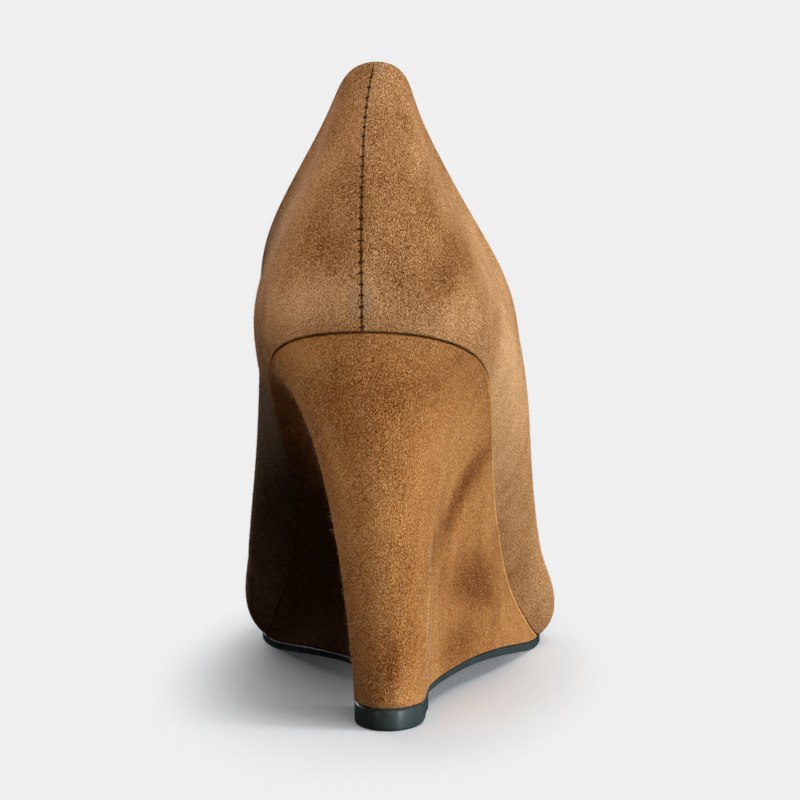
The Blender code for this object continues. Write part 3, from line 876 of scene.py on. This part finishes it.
# The fold under the foot stands proud along the outer side: from where and over what length, then its
# height, its lift and the painted highlight along its edge, each with the width that it fades over, in
# millimetres
FOLD_START, FOLD_FADE = 44.0, 16.0
FOLD_HEIGHT, FOLD_WIDTH = 0.30, 0.7
FOLD_LIFT, FOLD_LIFT_WIDTH = 0.22, 0.5
FOLD_PAINTED_HIGHLIGHT, FOLD_HIGHLIGHT_WIDTH = 2.0, 0.45
RIM_PAINTED_HIGHLIGHT = 0.8                          # painted highlight on the turned rim along the outer side


def wedge_side(sizes, at):
    """Points and shades of one side of the wedge's cover, its edges turned in, and the face's normals."""
    t_mid = np.tile(np.linspace(0, 1, 41), (len(at), 1))
    tall = np.linalg.norm(np.diff(wedge_face(at, t_mid), axis=1), axis=2).sum(1)
    turned = np.minimum(sizes.edge / MM, 0.3 * tall)    # a low side keeps a face between its edges
    t = shares_up(wedge_face, at, COVER_ROWS, turned, turned, COVER_CROWD)
    base, normals = wedge_face(at, t), facing(wedge_face, at, t)
    column = at[:, None]
    relief = spots(CREASES, "wedge", column, base[:, :, 2])
    fade = np.clip((tall - LOW_SIDE) / LOW_FADE, 0, 1)[:, None]
    way = np.linalg.norm(base - base[:, -1:], axis=2)
    lateral = np.clip((at - FOLD_START) / FOLD_FADE, 0, 1)[:, None]
    ridge = FOLD_HEIGHT * lateral * fade * np.exp(-((way / FOLD_WIDTH) ** 2))
    nap = spots(STROKES, "wedge", column, base[:, :, 2])
    # painted highlight: a pale line drawn along the fold's edge on the outer side
    nap = nap + FOLD_PAINTED_HIGHLIGHT * lateral * np.exp(-((way / FOLD_HIGHLIGHT_WIDTH) ** 2))
    outer = base + (relief * fade + ridge)[:, :, None] * normals
    lift = FOLD_LIFT * lateral * np.exp(-((way / FOLD_LIFT_WIDTH) ** 2))
    outer = outer + lift[:, :, None] * unit(base[:, -1] - base[:, -2])[:, None]
    angles = np.linspace(0, math.pi / 2, 6)[1:]
    up, down = unit(outer[:, -1] - outer[:, -2]), unit(outer[:, 0] - outer[:, 1])
    r = turned[:, None]
    level = np.clip(np.linalg.norm(normals[:, -1, :2], axis=1), 0.2, 1)[:, None]
    top, low = outer[:, -1] - r * level * normals[:, -1], outer[:, 0] - r * normals[:, 0]
    over = [top + r * level * (math.cos(a) * normals[:, -1] + math.sin(a) * up) for a in angles]
    under = [low + r * (math.cos(a) * normals[:, 0] + math.sin(a) * down) for a in angles[::-1]]
    points = np.concatenate([np.stack(under, 1), outer, np.stack(over, 1)], axis=1)
    shade = np.zeros(points.shape[:2])
    shade[:, len(angles) : -len(angles)] = nap
    # painted highlight on the rim along the outer side, and painted shade in the crease round the back
    shade[:, -len(angles) :] = RIM_PAINTED_HIGHLIGHT * lateral + LIP_PAINTED_SHADE * lip_painted_shade_share(at)[:, None]
    return points, shade, normals


def wedge_places():
    """Matched places along the wedge's outer and inner side, from the back seam to the ball."""
    ends = place_of("joint_outer"), place_of("joint_inner")
    return [stations(end, COVER_STEP, COVER_WIDE_STEP, COVER_REACH, COVER_COLUMNS) for end in ends]


class PUMP_OT_wedge(bpy.types.Operator):
    """Suede cover of the wedge, turned in under the foot and over the top lift"""

    bl_idname = "pump.wedge"
    bl_label = "Wedge Cover"

    def execute(self, context):
        sizes, colours = context.scene.pump_sizes, context.scene.pump_colours
        outer, inner = [wedge_side(sizes, at) for at in wedge_places()]
        rings = np.concatenate([outer[0], inner[0][:, ::-1]], axis=1)
        shade = np.concatenate([outer[1], inner[1][:, ::-1]], axis=1)
        rows, wide = rings.shape[:2]
        faces = grid_faces(rows, wide, False, True)
        last = np.arange((rows - 1) * wide, rows * wide)
        for j in range(wide // 2 - 1):
            faces.append([int(last[k]) for k in (j, j + 1, wide - 2 - j, wide - 1 - j)])
        napped = suede(
            "suede_wedge_cover", colours.cover_dark, colours.cover_mid, colours.cover_light, colours.rub
        )
        grey = np.zeros(shade.shape)
        cover = mesh_object("wedge_suede", rings.reshape(-1, 3), faces, napped, nap=shade, rub=grey)
        settle(cover, "suede", "wedge")
        return {"FINISHED"}


def slab_edge(low, high, out, radius):
    """Profile of a slab's edge from its underside to its upper face, with both corners rounded."""
    out = np.column_stack([out, np.zeros(len(out))])[:, None]
    rise = np.array([0.0, 0.0, 1.0])
    # a thin slab keeps a flat between its corners
    r = np.minimum(radius, 0.45 * (high[:, 2] - low[:, 2]))[:, None, None]
    a = np.linspace(0, math.pi / 2, 5)[None, :, None]
    foot = low[:, None] - out * r * (1 - np.sin(a)) + rise * r * (1 - np.cos(a))
    head = high[:, None] - out * r * (1 - np.cos(a)) - rise * r * (1 - np.sin(a))
    return np.concatenate([foot, head], axis=1)


def slab(name, outer, inner, across, material, bottom=None, crown=None, cap_first=False, cap_last=False):
    """A closed slab between two edge profiles, with columns of points across both faces."""
    share = np.linspace(0, 1, across + 2)[1:-1][None, :, None]
    under = inner[:, :1] + (outer[:, :1] - inner[:, :1]) * share
    over = outer[:, -1:] + (inner[:, -1:] - outer[:, -1:]) * share
    wide = np.linalg.norm(outer[:, 0] - inner[:, 0], axis=1)[:, None]
    rim = np.minimum(share[:, :, 0], 1 - share[:, :, 0]) * wide
    if bottom:
        under[:, :, 2] = bottom(under[:, :, 1], rim)
    if crown:
        over[:, :, 2] += crown(over[:, :, 1], rim)
    rings = np.concatenate([outer, over, inner[:, ::-1], under], axis=1)
    rows, ring = rings.shape[:2]
    faces = grid_faces(rows, ring, False, True)
    if cap_first:
        faces.append(list(range(ring)))
    if cap_last:
        faces.append(list(range((rows - 1) * ring, rows * ring))[::-1])
    return mesh_object(name, rings.reshape(-1, 3), faces, material)


# How outsole, top lift and sock are drawn: places along each side, and points across both faces
SOLE_BACK_COLUMNS, SOLE_TOE_COLUMNS, SOLE_ACROSS = 120, 190, 26
LIFT_COLUMNS, LIFT_ACROSS = 90, 12
SOCK_COLUMNS, SOCK_ACROSS = 220, 20
# Ribs of the tread, in millimetres: where they begin behind, in front and in from the edge, each with the
# length that they fade in over
RIBS_BACK, RIBS_BACK_FADE = 112.0, 8.0
RIBS_FRONT, RIBS_FRONT_FADE = 214.0, 6.0
RIBS_RIM, RIBS_RIM_FADE = 5.0, 2.0
# The sock, in millimetres: the radius of its edge and the rim that its crown fades over. Then, in shares,
# how far up the upper's wall its lean is read and how much of that it follows
SOCK_EDGE, SOCK_RIM = 0.8, 9.0
SOCK_UP, SOCK_LEAN = 0.06, 0.6
SockRise = namedtuple("SockRise", "place y long amount")
SOCK_RISES = [
    SockRise("dish of the heel seat", 26.0, 16.0, -0.5),
    SockRise("padding of the ball", 158.0, 22.0, 0.15),
]


class PUMP_OT_outsole(bpy.types.Operator):
    """Thin rubber outsole with a rounded edge and fine ribs across its tread"""

    bl_idname = "pump.outsole"
    bl_label = "Outsole"

    def execute(self, context):
        sizes = context.scene.pump_sizes
        tip, length = place_of("toe_tip"), last_knots()[1]
        sides = []
        for start, front, end in (
            (place_of("seat_outer") + GAP, place_of("joint_outer"), tip),
            (place_of("seat_inner") - GAP, place_of("joint_inner"), tip - length),
        ):
            step = math.copysign(GAP, start)
            back = np.linspace(start, front + step, SOLE_BACK_COLUMNS)
            toe = np.linspace(front + 2 * step, end, SOLE_TOE_COLUMNS)
            at = np.concatenate([back, toe])
            low, high = tread_points(at, sole_bottom), tread_points(at, sole_top)
            sides.append(slab_edge(low, high, tread_outward(at), sizes.sole_edge / MM))

        def ribs(y, rim):
            """Shallow grooves across the tread, which run out before the edge."""
            back = np.clip((y - RIBS_BACK) / RIBS_BACK_FADE, 0, 1)
            front = np.clip((RIBS_FRONT - y) / RIBS_FRONT_FADE, 0, 1)
            edge = np.clip((rim - RIBS_RIM) / RIBS_RIM_FADE, 0, 1)
            wave = 0.5 + 0.5 * np.cos(2 * math.pi * y / (sizes.rib_pitch / MM))
            return sole_bottom(y) + sizes.rib_depth / MM * wave**3 * (back * front) * edge

        sole = slab("outsole_rubber", *sides, SOLE_ACROSS, rubber_of(context), bottom=ribs, cap_first=True)
        settle(sole, "rubber", "outsole")
        return {"FINISHED"}


class PUMP_OT_top_lift(bpy.types.Operator):
    """Moulded rubber top lift under the heel"""

    bl_idname = "pump.top_lift"
    bl_label = "Top Lift"

    def execute(self, context):
        sizes = context.scene.pump_sizes
        sides = []
        for end in (place_of("seat_outer"), place_of("seat_inner")):
            at = np.linspace(0, end, LIFT_COLUMNS)
            low = tread_points(at, np.zeros_like)
            high = low + (0, 0, LIFT_THICK)
            sides.append(slab_edge(low, high, tread_outward(at), sizes.lift_edge / MM))
        lift = slab("top_lift_rubber", *sides, LIFT_ACROSS, rubber_of(context), cap_last=True)
        settle(lift, "rubber", "top_lift")
        return {"FINISHED"}


class PUMP_OT_sock(bpy.types.Operator):
    """Leather sock over the insole, crowned a little and dished under the heel"""

    bl_idname = "pump.sock"
    bl_label = "Insole and Sock"

    def execute(self, context):
        colours = context.scene.pump_colours
        tip, length = place_of("toe_tip"), last_knots()[1]
        sides = []
        for end in (tip, tip - length):
            at = np.linspace(0, end, SOCK_COLUMNS)
            t = np.full((len(at), 1), SOCK_UP)
            foot, out = feather_points(at), outward(at)
            wall = upper_face(at, t)[:, 0, :2] - foot[:, :2]
            low = foot[:, :2] - (WALL + GAP) * out
            high = low + SOCK_LEAN * wall
            low = np.column_stack([low, feather_height(low[:, 1])])
            high = np.column_stack([high, feather_height(high[:, 1]) + INSOLE_THICK])
            sides.append(slab_edge(low, high, out, SOCK_EDGE))

        def crown(y, rim):
            """Soft rise of the ball's padding and dish of the heel seat, both fading at the rim."""
            share = np.clip(rim / SOCK_RIM, 0, 1)
            rises = [rise.amount * np.exp(-(((y - rise.y) / rise.long) ** 2)) for rise in SOCK_RISES]
            return share**2 * (3 - 2 * share) * sum(rises)

        leather = smooth_leather("sock_leather", colours.sock, colours.leather_dark)
        sock = slab("sock_leather", *sides, SOCK_ACROSS, leather, crown=crown)
        settle(sock, "sock_leather", "insole")
        return {"FINISHED"}


# Fibres of the nap: how far they swing from hanging, in radians, how far they stand out in shares of their
# length, how that length varies, half width and root in millimetres, and how strongly strokes draw a shade
NAP_SEED, HAIR_SEED = 23, 31
FIBRE_SWING = 0.9
FIBRE_STAND = (0.10, 0.55)
FIBRE_VARIES = (0.5, 1.2)
FIBRE_THIN = (0.03, 0.06)
FIBRE_ROOT = 0.05
FIBRE_DRAW = 1.1

# Loose hairs of the wedge's cover: where they grow along the feather edge in millimetres and up the side in
# shares, how many are light, middling and dark, how long they are in millimetres, how far they swing from
# hanging, in radians, and how far they stand out, in shares of their length
HairRow = namedtuple("HairRow", "place at_low at_high up_low up_high counts short long swing flat steep")
HAIRS = [
    HairRow("hem over the lift", -46, 46, 0.004, 0.014, (40, 160, 640), 0.3, 1.1, 0.40, 0.03, 0.30),
    HairRow("inner turn", -46, -8, 0.05, 0.97, (900, 700, 300), 0.6, 1.9, 1.6, 0.45, 0.95),
]


def cell_areas(points):
    """Twice the area of every square of a grid of points."""
    first = points[1:, 1:] - points[:-1, :-1]
    second = points[:-1, 1:] - points[1:, :-1]
    return np.linalg.norm(np.cross(first, second), axis=2)


def suede_patches(sizes):
    """Points, normals and nap of the upper's face and of both sides of the wedge's cover."""
    outer, normals, nap = upper_skin(sizes)[2:5]
    patches = [[np.concatenate([grid, grid[:1]]) for grid in (outer, normals, nap)]]
    for places in wedge_places():
        points, shade, out = wedge_side(sizes, places)
        trim = (points.shape[1] - out.shape[1]) // 2
        patches.append([points[:, trim:-trim], out, shade[:, trim:-trim]])
    return patches


def fibre_seats(random, points, normals, weight, count):
    """Random seats on a grid of points, with normals and ways up, as many as areas and weights give."""
    a, b = points[:-1, :-1], points[1:, :-1]
    c, d = points[1:, 1:], points[:-1, 1:]
    area = cell_areas(points) * weight[:-1, :-1]
    pick = random.choice(area.size, count, p=area.ravel() / area.sum())
    i, j = np.unravel_index(pick, area.shape)
    u, v = random.random((2, count, 1))
    seat = (a[i, j] * (1 - u) + b[i, j] * u) * (1 - v) + (d[i, j] * (1 - u) + c[i, j] * u) * v
    up = unit(d[i, j] - a[i, j] + 1e-9)
    return seat, normals[i, j], up


def loose_hairs(random, shade):
    """Seats, normals, ways up, swirls, rises and lengths of the cover's loose hairs of a shade."""
    small = 0.003
    groups = []
    for row in HAIRS:
        count = row.counts[shade]
        at = random.uniform(row.at_low, row.at_high, count)
        t = random.uniform(row.up_low, row.up_high, (count, 1))
        up = unit(wedge_face(at, t + small) - wedge_face(at, t - small))[:, 0]
        swirl = random.normal(0, row.swing, (count, 1)) + math.pi
        rise = random.uniform(row.flat, row.steep, (count, 1))
        reach = random.uniform(row.short, row.long, (count, 1))
        groups.append((wedge_face(at, t)[:, 0], facing(wedge_face, at, t)[:, 0], up, swirl, rise, reach))
    return [np.concatenate(column) for column in zip(*groups)]


class PUMP_OT_nap(bpy.types.Operator):
    """Short fibres that stand out of the suede, in three shades"""

    bl_idname = "pump.nap"
    bl_label = "Nap"

    def execute(self, context):
        sizes, colours = context.scene.pump_sizes, context.scene.pump_colours
        random, loose = np.random.default_rng(NAP_SEED), np.random.default_rng(HAIR_SEED)
        patches = suede_patches(sizes)
        areas = [cell_areas(points).sum() for points, _, _ in patches]
        shades = (
            ("nap_light", colours.fuzz_light, 1.0),
            ("nap_mid", colours.fuzz_mid, 0.0),
            ("nap_dark", colours.fuzz_dark, -1.0),
        )
        for number, (name, colour, lean) in enumerate(shades):
            seats = []
            for (points, out, shade), area in zip(patches, areas):
                # light and dark fibres crowd where the shade is light or dark, painted shade and highlight
                # included
                weight = np.exp(FIBRE_DRAW * lean * np.clip(shade, -1, 1))
                count = int(sizes.fibres * area / sum(areas))
                seats.append(fibre_seats(random, points, out, weight, count))
            seat, out, up = (np.concatenate(column) for column in zip(*seats))
            swirl = random.normal(0, FIBRE_SWING, (len(seat), 1)) + math.pi
            rise = random.uniform(*FIBRE_STAND, (len(seat), 1))
            reach = sizes.fibre / MM * random.uniform(*FIBRE_VARIES, (len(seat), 1))
            pairs = zip((seat, out, up, swirl, rise, reach), loose_hairs(loose, number))
            seat, out, up, swirl, rise, reach = (np.concatenate(pair) for pair in pairs)
            count = len(seat)
            lie = np.cos(swirl) * up + np.sin(swirl) * np.cross(out, up)
            tip = seat + reach * (np.sqrt(1 - rise**2) * lie + rise * out)
            thin = random.uniform(*FIBRE_THIN, (count, 1))
            side = np.cross(lie, out)
            low = seat - FIBRE_ROOT * out
            corners = [low + thin * side, low - thin * side, low + thin * (lie + out), tip]
            points = np.stack(corners, axis=1).reshape(-1, 3)
            index = np.arange(count)[:, None] * 4
            sides = [(0, 2, 1), (0, 1, 3), (1, 2, 3), (2, 0, 3)]
            faces = np.concatenate([index + np.array(s) for s in sides]).tolist()
            mesh = bpy.data.meshes.new(name)
            mesh.from_pydata(((points - ORIGIN) * MM).tolist(), [], faces)
            mesh.materials.append(nap_fibre(name + "_fibre", colour))
            obj = bpy.data.objects.new(name, mesh)
            context.scene.collection.objects.link(obj)
            settle(obj, "suede")
        return {"FINISHED"}


# The camera: where it stands, in millimetres in the part's frame, and its turn and lens
CAMERA_PLACE = (24.8, -725.8, 120.0)
CAMERA_YAW = 4.5
CAMERA_AIM = 2.734      # turned to the right by this, so that the shoe is in the middle
CAMERA_PITCH = 3.63
FOCAL_PIXELS = 3183.0
IMAGE_WIDTH = 800.0

# Soft lights: place, aim and size in metres, power in watts, the cone of a snooted one in degrees, and tint
Lamp = namedtuple("Lamp", "name place aim size power cone tint")
LAMPS = [
    Lamp("softbox_over", (0.40, -0.35, 1.40), (0.0, 0.05, 0.05), 0.8, 6.0, 0, "#FFFFFF"),
    Lamp("softbox_right", (1.35, -0.35, 0.16), (0.0, 0.05, 0.06), 0.5, 23.0, 0, "#FFFFFF"),
    Lamp("softbox_behind_camera", (0.45, -1.65, 0.40), (0.0, 0.0, 0.07), 0.45, 6.0, 0, "#FFFFFF"),
    Lamp("softbox_front", (-0.62, 1.50, 0.62), (0.0, 0.10, 0.05), 0.8, 11.0, 0, "#FFFFFF"),
    Lamp("snoot_inner_quarter", (-1.00, -0.71, 0.44), (-0.001, -0.009, 0.119), 0.06, 35.5, 5.9, "#FFEEE2"),
    Lamp("snoot_inner_heel", (-1.00, -0.76, 0.22), (0.009, -0.025, 0.043), 0.06, 26.0, 5.1, "#FFEEE2"),
]

FILL_FROM = (0.84, -0.38, 0.39)         # the room's soft fill comes from the outer side, behind and above
FILL_TURN = (0.1, 0.9)                  # from where to where it grows, in cosines of the angle from there
FILL_LEAST, FILL_MOST = 0.012, 0.02

FLOOR_RADIUS, BACKDROP_RADIUS = 3.0, 6.0
# The sweep has lights of its own in a studio. Near the shoe this gain stands for them, so that the shoe's
# shadows stay in it, and past the shoe the paper is as bright as its backdrop.
FLOOR_GAIN = (1.12, 1.19, 1.255)
NEAR_PLACE, NEAR_SIZE = (-0.004, 0.095, 0.0), (0.038, 0.120, 1.0)
NEAR_EDGE = (0.7, 1.6)                  # where the glow grows from and where it is full, in near sizes
NEAR_GLOW = 0.03                        # how much of the glow is under the shoe itself


class PUMP_OT_stage(bpy.types.Operator):
    """Pale floor and backdrop, soft lights and the camera"""

    bl_idname = "pump.stage"
    bl_label = "Stage"

    def execute(self, context):
        pale = context.scene.pump_colours.floor
        material, tree, shader = new_material("paper_sweep_matte")
        tree.nodes.remove(shader)
        lit = FLOOR_GAIN + (1.0,)
        paper = add_node(tree, "ShaderNodeBsdfDiffuse", {"Color": lit}).outputs["BSDF"]
        glow = add_node(tree, "ShaderNodeEmission", {"Color": pale, "Strength": 1.0}).outputs["Emission"]
        where = add_node(tree, "ShaderNodeTexCoord").outputs["Object"]
        near = add_node(
            tree,
            "ShaderNodeMapping",
            {"Vector": where, "Location": NEAR_PLACE, "Scale": NEAR_SIZE},
            vector_type="TEXTURE",
        ).outputs["Vector"]
        reach = add_node(tree, "ShaderNodeVectorMath", {0: near}, operation="LENGTH").outputs["Value"]
        share = add_node(
            tree,
            "ShaderNodeMapRange",
            {"Value": reach, "From Min": NEAR_EDGE[0], "From Max": NEAR_EDGE[1], "To Min": NEAR_GLOW},
            interpolation_type="SMOOTHSTEP",
        ).outputs["Result"]
        mix = add_node(tree, "ShaderNodeMixShader", {0: share, 1: paper, 2: glow})
        tree.links.new(mix.outputs["Shader"], tree.nodes["Material Output"].inputs["Surface"])
        turns = np.linspace(0, 2 * math.pi, 96, endpoint=False)
        ring = [(FLOOR_RADIUS * math.cos(a), FLOOR_RADIUS * math.sin(a), 0.0) for a in turns]
        floor_mesh = bpy.data.meshes.new("floor")
        floor_mesh.from_pydata(ring, [], [list(range(len(ring)))])
        floor_mesh.materials.append(material)
        floor = bpy.data.objects.new("floor", floor_mesh)

        backdrop_material, tree, shader = new_material("paper_backdrop_lit")
        tree.nodes.remove(shader)
        glow = add_node(tree, "ShaderNodeEmission", {"Color": pale, "Strength": 1.0})
        tree.links.new(glow.outputs["Emission"], tree.nodes["Material Output"].inputs["Surface"])
        dome = bmesh.new()
        bmesh.ops.create_uvsphere(dome, u_segments=48, v_segments=24, radius=BACKDROP_RADIUS)
        dome_mesh = bpy.data.meshes.new("backdrop")
        dome.to_mesh(dome_mesh)
        dome.free()
        dome_mesh.materials.append(backdrop_material)
        backdrop = bpy.data.objects.new("backdrop", dome_mesh)
        for obj in (floor, backdrop):
            context.scene.collection.objects.link(obj)
        for flag in ("visible_diffuse", "visible_glossy", "visible_transmission", "visible_shadow"):
            setattr(backdrop, flag, False)
        # what the paper throws on the shoe is already in the lamps and the fill
        floor.visible_diffuse = False
        floor.visible_glossy = False

        world = bpy.data.worlds.new("studio_fill")
        world.use_nodes = True
        sky = world.node_tree
        toward = add_node(sky, "ShaderNodeTexCoord").outputs["Generated"]
        lit_side = add_node(
            sky, "ShaderNodeVectorMath", {0: toward, 1: FILL_FROM}, operation="DOT_PRODUCT"
        ).outputs["Value"]
        start, end = FILL_TURN
        fill = add_node(
            sky,
            "ShaderNodeMapRange",
            {
                "Value": lit_side,
                "From Min": start,
                "From Max": end,
                "To Min": FILL_LEAST,
                "To Max": FILL_MOST,
            },
        ).outputs["Result"]
        sky.nodes["Background"].inputs["Color"].default_value = (1.0, 1.0, 1.0, 1.0)
        sky.links.new(fill, sky.nodes["Background"].inputs["Strength"])
        context.scene.world = world
        for lamp in LAMPS:
            light = bpy.data.lights.new(lamp.name, "SPOT" if lamp.cone else "AREA")
            light.energy = lamp.power
            light.color = linear(lamp.tint)[:3]
            if lamp.cone:
                light.spot_size = math.radians(lamp.cone)
                light.spot_blend = 1.0
                light.shadow_soft_size = lamp.size / 2
            else:
                light.shape = "DISK"
                light.size = lamp.size
            obj = bpy.data.objects.new(lamp.name, light)
            obj.location = lamp.place
            obj.rotation_euler = (Vector(lamp.aim) - Vector(lamp.place)).to_track_quat("-Z", "Y").to_euler()
            context.scene.collection.objects.link(obj)

        lens = bpy.data.cameras.new("camera")
        lens.sensor_width = 36.0
        lens.lens = FOCAL_PIXELS / IMAGE_WIDTH * lens.sensor_width
        lens.clip_start = 0.01
        lens.clip_end = 50.0
        camera = bpy.data.objects.new("camera", lens)
        turn = Matrix.Rotation(math.radians(CAMERA_YAW - CAMERA_AIM), 4, "Z")
        tilt = Matrix.Rotation(math.radians(90.0 - CAMERA_PITCH), 4, "X")
        camera.matrix_world = Matrix.Translation(Vector(CAMERA_PLACE) * MM) @ turn @ tilt
        context.scene.collection.objects.link(camera)
        context.scene.camera = camera
        context.scene.view_settings.view_transform = "Standard"
        return {"FINISHED"}


class PUMP_PT_sidebar(bpy.types.Panel):
    """The pump's sizes, colours and pieces"""

    bl_idname = "PUMP_PT_sidebar"
    bl_label = "Wedge Pump"
    bl_space_type = "VIEW_3D"
    bl_region_type = "UI"
    bl_category = "Pump"

    def draw(self, context):
        for group in (context.scene.pump_sizes, context.scene.pump_colours):
            column = self.layout.column(align=True)
            for key in group.__annotations__:
                column.prop(group, key)
        for operator in OPERATORS:
            self.layout.operator(operator.bl_idname)


OPERATORS = (
    PUMP_OT_upper,
    PUMP_OT_back_seam,
    PUMP_OT_wedge,
    PUMP_OT_outsole,
    PUMP_OT_top_lift,
    PUMP_OT_sock,
    PUMP_OT_nap,
    PUMP_OT_stage,
)
CLASSES = (PumpSizes, PumpColours, *OPERATORS, PUMP_PT_sidebar)


def register():
    """Add the sizes, the colours, an operator for each piece and the sidebar."""
    for cls in CLASSES:
        bpy.utils.register_class(cls)
    bpy.types.Scene.pump_sizes = PointerProperty(type=PumpSizes)
    bpy.types.Scene.pump_colours = PointerProperty(type=PumpColours)


def unregister():
    """Take them away again."""
    del bpy.types.Scene.pump_colours
    del bpy.types.Scene.pump_sizes
    for cls in reversed(CLASSES):
        bpy.utils.unregister_class(cls)


def main():
    """Make every piece and the stage."""
    register()
    bpy.ops.pump.upper()
    bpy.ops.pump.back_seam()
    bpy.ops.pump.wedge()
    bpy.ops.pump.outsole()
    bpy.ops.pump.top_lift()
    bpy.ops.pump.sock()
    bpy.ops.pump.nap()
    bpy.ops.pump.stage()


if __name__ == "__main__":
    main()
